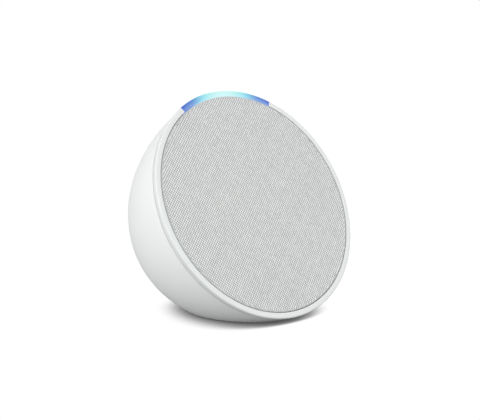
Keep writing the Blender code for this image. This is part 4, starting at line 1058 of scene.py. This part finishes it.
# %% [markdown]
# The symbols could be a picture on the caps, but a pad print has a thickness and a crisp edge at
# any distance, so each is a flat shape of ink: a bar, a cross, and a circle with a slash.

# %% Printed symbols
STROKE = 0.42 * MM
ARM = 3.0 * MM
CIRCLE = 1.55 * MM
CIRCLE_STROKE = 0.38 * MM
INK_FILM = 0.02 * MM
INK_ROOT = 0.1 * MM


def flat_symbol(name, outlines, place, body):
    """Ink shapes of a hair's thickness on top of a key."""
    bm = bmesh.new()
    for outline in outlines:
        bottom = [bm.verts.new((px, py, PROUD - INK_ROOT)) for px, py in outline]
        top = [bm.verts.new((px, py, PROUD + INK_FILM)) for px, py in outline]
        bm.faces.new(bottom)
        bm.faces.new(top)
        for i in range(len(outline)):
            j = (i + 1) % len(outline)
            bm.faces.new([bottom[i], bottom[j], top[j], top[i]])
    bmesh.ops.recalc_face_normals(bm, faces=bm.faces)
    symbol = piece(name, bm, INK, body, place)
    return symbol


half_arm, half_stroke = ARM / 2, STROKE / 2
minus = [
    [
        (-half_arm, -half_stroke),
        (half_arm, -half_stroke),
        (half_arm, half_stroke),
        (-half_arm, half_stroke),
    ]
]
plus = [
    [
        (-half_arm, -half_stroke),
        (-half_stroke, -half_stroke),
        (-half_stroke, -half_arm),
        (half_stroke, -half_arm),
        (half_stroke, -half_stroke),
        (half_arm, -half_stroke),
        (half_arm, half_stroke),
        (half_stroke, half_stroke),
        (half_stroke, half_arm),
        (-half_stroke, half_arm),
        (-half_stroke, half_stroke),
        (-half_arm, half_stroke),
    ]
]


def no_entry(radius, width, steps=40):
    """A circle with a slash through it: two halves of a ring, and the slash between them."""
    inner = radius - width
    turn = math.radians(45)
    lean = math.asin(width / 2 / inner)
    shapes = []
    for side in (0, math.pi):
        first, last = turn + side + lean, turn + side + math.pi - lean
        arc_in = [first + (last - first) * k / steps for k in range(steps + 1)]
        start, end = turn + side, turn + side + math.pi
        arc_out = [end + (start - end) * k / steps for k in range(steps + 1)]
        ring_in = [(inner * math.cos(a), inner * math.sin(a)) for a in arc_in]
        ring_out = [(radius * math.cos(a), radius * math.sin(a)) for a in arc_out]
        shapes.append([*ring_in, *ring_out])
    slash = [
        (inner * math.cos(turn + lean), inner * math.sin(turn + lean)),
        (inner * math.cos(turn + math.pi - lean), inner * math.sin(turn + math.pi - lean)),
        (inner * math.cos(turn + math.pi + lean), inner * math.sin(turn + math.pi + lean)),
        (inner * math.cos(turn - lean), inner * math.sin(turn - lean)),
    ]
    return shapes, [slash]


ring_halves, slash = no_entry(CIRCLE, CIRCLE_STROKE)
SYMBOLS = {"volume_down": minus, "mic_off": ring_halves + slash, "volume_up": plus}
for number, (key, symbol) in enumerate(SYMBOLS.items()):
    place = skin_frame((number - 1) * BUTTON_TURN)
    cap = piece(f"{key}_key", turned(key_outline(), 72), WHITE_ABS, key, place)
    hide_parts(f"{key}_button")
    flat_symbol(f"{key}_symbol", symbol, place, key)

# %% [markdown]
# ## The foot and the power socket
# An oval pad of silicone rubber is glued into a shallow recess in the base and keeps the dome
# 0.8 mm off the table, which gives the thin dark line under it. Low at the back, a round socket
# of black plastic takes a barrel plug; its middle pin and a spring leaf are nickel plated.

# %% Foot
foot = piece(
    "silicone_foot",
    oval_prism(foot_x - FOOT_MARGIN, foot_y - FOOT_MARGIN, foot_middle, 0.0, 1.2 * MM, 128, 0.3 * MM),
    SILICONE,
    "housing",
    HERE,
)
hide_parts("rubber_foot")

# %% Power socket
MOUTH = Matrix.Translation((0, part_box("power_jack_housing")[1].y, 0)) @ socket
BORE = 3.1 * MM
BORE_DEPTH = 12.0 * MM
COLLAR = 4.1 * MM
COLLAR_END = 5.0 * MM
BODY_SIZE = (9 * MM, 8 * MM, 9 * MM)
BODY_MIDDLE = 9.5 * MM
BODY_EDGE = 0.35 * MM
collar_points = [
    (BORE, 0, True),
    (COLLAR, 0, True),
    (COLLAR, -COLLAR_END, False),
    (BORE, -COLLAR_END, False),
]
collar_outline = soft_outline(collar_points, {0: 0.2 * MM, 1: 0.3 * MM})
collar = piece("socket_collar", turned(collar_outline, 64), BLACK_ABS, "housing", MOUTH)
body_bm = bmesh.new()
block_place = Matrix.Translation((0, 0, -BODY_MIDDLE)) @ Matrix.Diagonal((*BODY_SIZE, 1))
bmesh.ops.create_cube(body_bm, size=1, matrix=block_place)
edges = list(body_bm.edges)
bmesh.ops.bevel(body_bm, geom=edges, offset=BODY_EDGE, segments=2, profile=0.5, affect="EDGES")
socket_body = piece("socket_body", body_bm, BLACK_ABS, place=MOUTH)
boolean(socket_body, [peg(BORE, -BORE_DEPTH, 0, MOUTH, 48, "socket_bore")])
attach(socket_body, "housing")
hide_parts("power_jack_housing")

# %% [markdown]
# **Nickel plate.** The pin is turned brass with a thin bright nickel coat, and the spring leaf is
# stamped from the same. Tool marks run round the pin, so the grain is squeezed along it.

# %% Nickel, and the contacts of the socket
PIN_FRONT = 1.5 * MM
PIN_BACK = 11.7 * MM
LEAF_WIDTH = 1.6 * MM
LEAF_THICKNESS = 0.15 * MM
NICKEL, tree, shader = new_finish("nickel plate, turned", "D5D3CC", 0.25, 1.0)
grain(tree, shader, 0.25 * MM, 0.003 * MM, ("CFCDC6", "DCDAD3"), (0.2, 0.34), stretch=(1, 1, 8))
pin_points = [(0, -PIN_FRONT, False), (MM, -PIN_FRONT, True), (MM, -PIN_BACK, False), (0, -PIN_BACK, False)]
pin = piece("socket_pin", turned(soft_outline(pin_points, {1: 0.6 * MM}), 32), NICKEL, "housing", MOUTH)
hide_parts("power_jack_pin")
leaf_bm = bmesh.new()
# millimetres: height and depth of the leaf's front, from the mouth inwards
leaf_line = [(-3.0, -4.4), (-2.3, -6.0), (-2.15, -7.0), (-2.3, -8.0), (-3.0, -11.5)]
left = -LEAF_WIDTH / 2
leaf_front = [leaf_bm.verts.new((left, py * MM, pz * MM)) for py, pz in leaf_line]
leaf_back = [
    leaf_bm.verts.new((left, py * MM - LEAF_THICKNESS, pz * MM)) for py, pz in reversed(leaf_line)
]
leaf_face = leaf_bm.faces.new(leaf_front + leaf_back)
carried = bmesh.ops.extrude_face_region(leaf_bm, geom=[leaf_face])["geom"]
carried = [item for item in carried if isinstance(item, bmesh.types.BMVert)]
bmesh.ops.translate(leaf_bm, verts=carried, vec=(LEAF_WIDTH, 0, 0))
bmesh.ops.recalc_face_normals(leaf_bm, faces=leaf_bm.faces)
leaf = piece("socket_spring_leaf", leaf_bm, NICKEL, "housing", MOUTH)

# %% [markdown]
# ## What is inside
# The loudspeaker, its sealed chamber and the circuit boards keep their shapes from the frame and
# get the finish that each real part has. They are out of sight, but an opened or exploded view
# shows them: black pressed paper, butyl rubber, zinc on steel, sintered ferrite, copper wire,
# tin plate, amber film and green solder mask.

# %% Finishes of the inner parts
# slot: name, colour, two tones, roughness from and to, metallic, grain in mm, depth in mm
INNER = {
    "clear_polycarbonate": (
        "polycarbonate clear, polished", "E8F1F4",
        ("E2EEF2", "EEF5F7"), (0.1, 0.2), 0, 2.0, 0.002,
    ),
    "black_rubber": ("butyl rubber black", "1B1B1C", ("171718", "222224"), (0.7, 0.85), 0, 0.6, 0.01),
    "black_paper_cone": (
        "paper pulp black, pressed", "232323",
        ("1C1C1C", "2C2C2B"), (0.82, 0.95), 0, 0.5, 0.03,
    ),
    "resin_cloth": (
        "cotton cloth, resin dipped", "B98B3C",
        ("A67A30", "C89A4A"), (0.7, 0.9), 0, 0.45, 0.03,
    ),
    "polyimide_film": ("polyimide film amber", "B7702A", ("AB6622", "C47C34"), (0.28, 0.4), 0, 1.5, 0.003),
    "copper_wire": ("copper wire, enamelled", "B87333", ("A9652A", "C7803E"), (0.28, 0.42), 1, 0.2, 0.02),
    "zinc_plated_steel": (
        "steel, zinc plated", "B9BABC",
        ("AFB1B4", "C4C5C6"), (0.28, 0.45), 1, 0.8, 0.004,
    ),
    "ferrite": ("ferrite, sintered", "3A3A3C", ("323234", "454547"), (0.6, 0.8), 0, 0.4, 0.02),
    "aluminium": ("aluminium, bright rolled", "C9CBCD", ("C0C3C6", "D3D4D6"), (0.3, 0.48), 1, 0.6, 0.004),
    "green_circuit_board": (
        "glass epoxy board, green mask", "1F5A38",
        ("1A5030", "266643"), (0.36, 0.5), 0, 1.2, 0.012,
    ),
    "tinplate": ("steel sheet, tin plated", "C4C6C8", ("BABDC0", "CFD0D2"), (0.22, 0.38), 1, 1.0, 0.004),
    "grey_thermal_pad": (
        "silicone pad grey, filled", "8C9096",
        ("83878D", "979BA0"), (0.8, 0.95), 0, 0.5, 0.02,
    ),
    "black_foam": (
        "polyurethane foam black, closed cell", "222224",
        ("1A1A1B", "2C2C2E"), (0.88, 0.98), 0, 0.35, 0.05,
    ),
    "led_package": (
        "diode package white, phosphor lens", "F4F2D8",
        ("F0EDCB", "F8F6E3"), (0.3, 0.42), 0, 0.5, 0.004,
    ),
}
finishes = {
    "white_abs": WHITE_ABS,
    "light_grey_knit": CLOTH,
    "black_abs": BLACK_ABS,
    "milky_polycarbonate": LIT_PC,
    "white_silicone_rubber": SILICONE,
    "nickel_plate": NICKEL,
}
for slot, (name, colour, tones, rough, metallic, size, depth) in INNER.items():
    finishes[slot], tree, shader = new_finish(name, colour, rough[0], float(metallic))
    grain(tree, shader, size * MM, depth * MM, tones, rough)

slots = {entry["node"]: entry["material_slot"] for entry in frame["record"]["subparts"]}
for node, obj in frame["nodes"].items():
    for slot in obj.material_slots:
        slot.material = finishes[slots[node]]
print("inner finishes", len(INNER))

# %% [markdown]
# **Dome switches.** Under each key sits a snap dome: a thin pressed disc that buckles when the stem
# reaches it. The key has 0.3 mm of free travel and then 0.1 mm more, so the dome flattens by a
# little over a tenth of its height. That last part of the stroke is what the finger feels.

# %% Dome switches
SWITCH_TOP = STEM_END + GAP
SWITCH_HEIGHT = 1.2 * MM
SWITCH_RADIUS = 2.4 * MM
CAP_SHARE = 0.86
RISE_SHARE = 0.65


def snap_dome_outline():
    """A flat rim with a low cap on it, from the middle of the top round to the middle of the back."""
    foot = SWITCH_TOP + SWITCH_HEIGHT
    cap = SWITCH_RADIUS * CAP_SHARE
    rise = RISE_SHARE * SWITCH_HEIGHT
    steps = 8
    outline = []
    for k in range(steps + 1):
        radius = cap * k / steps
        outline.append((radius, -SWITCH_TOP - rise * (radius / cap) ** 2))
    outline += [(SWITCH_RADIUS, -SWITCH_TOP - rise), (SWITCH_RADIUS, -foot), (0, -foot)]
    return outline


for number, key in enumerate(SYMBOLS):
    place = skin_frame((number - 1) * BUTTON_TURN)
    finish = finishes[slots[f"{key}_switch"]]
    snap_dome = piece(f"{key}_snap_dome", turned(snap_dome_outline(), 48), finish, "housing", place)
    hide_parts(f"{key}_switch")
    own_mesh(snap_dome)
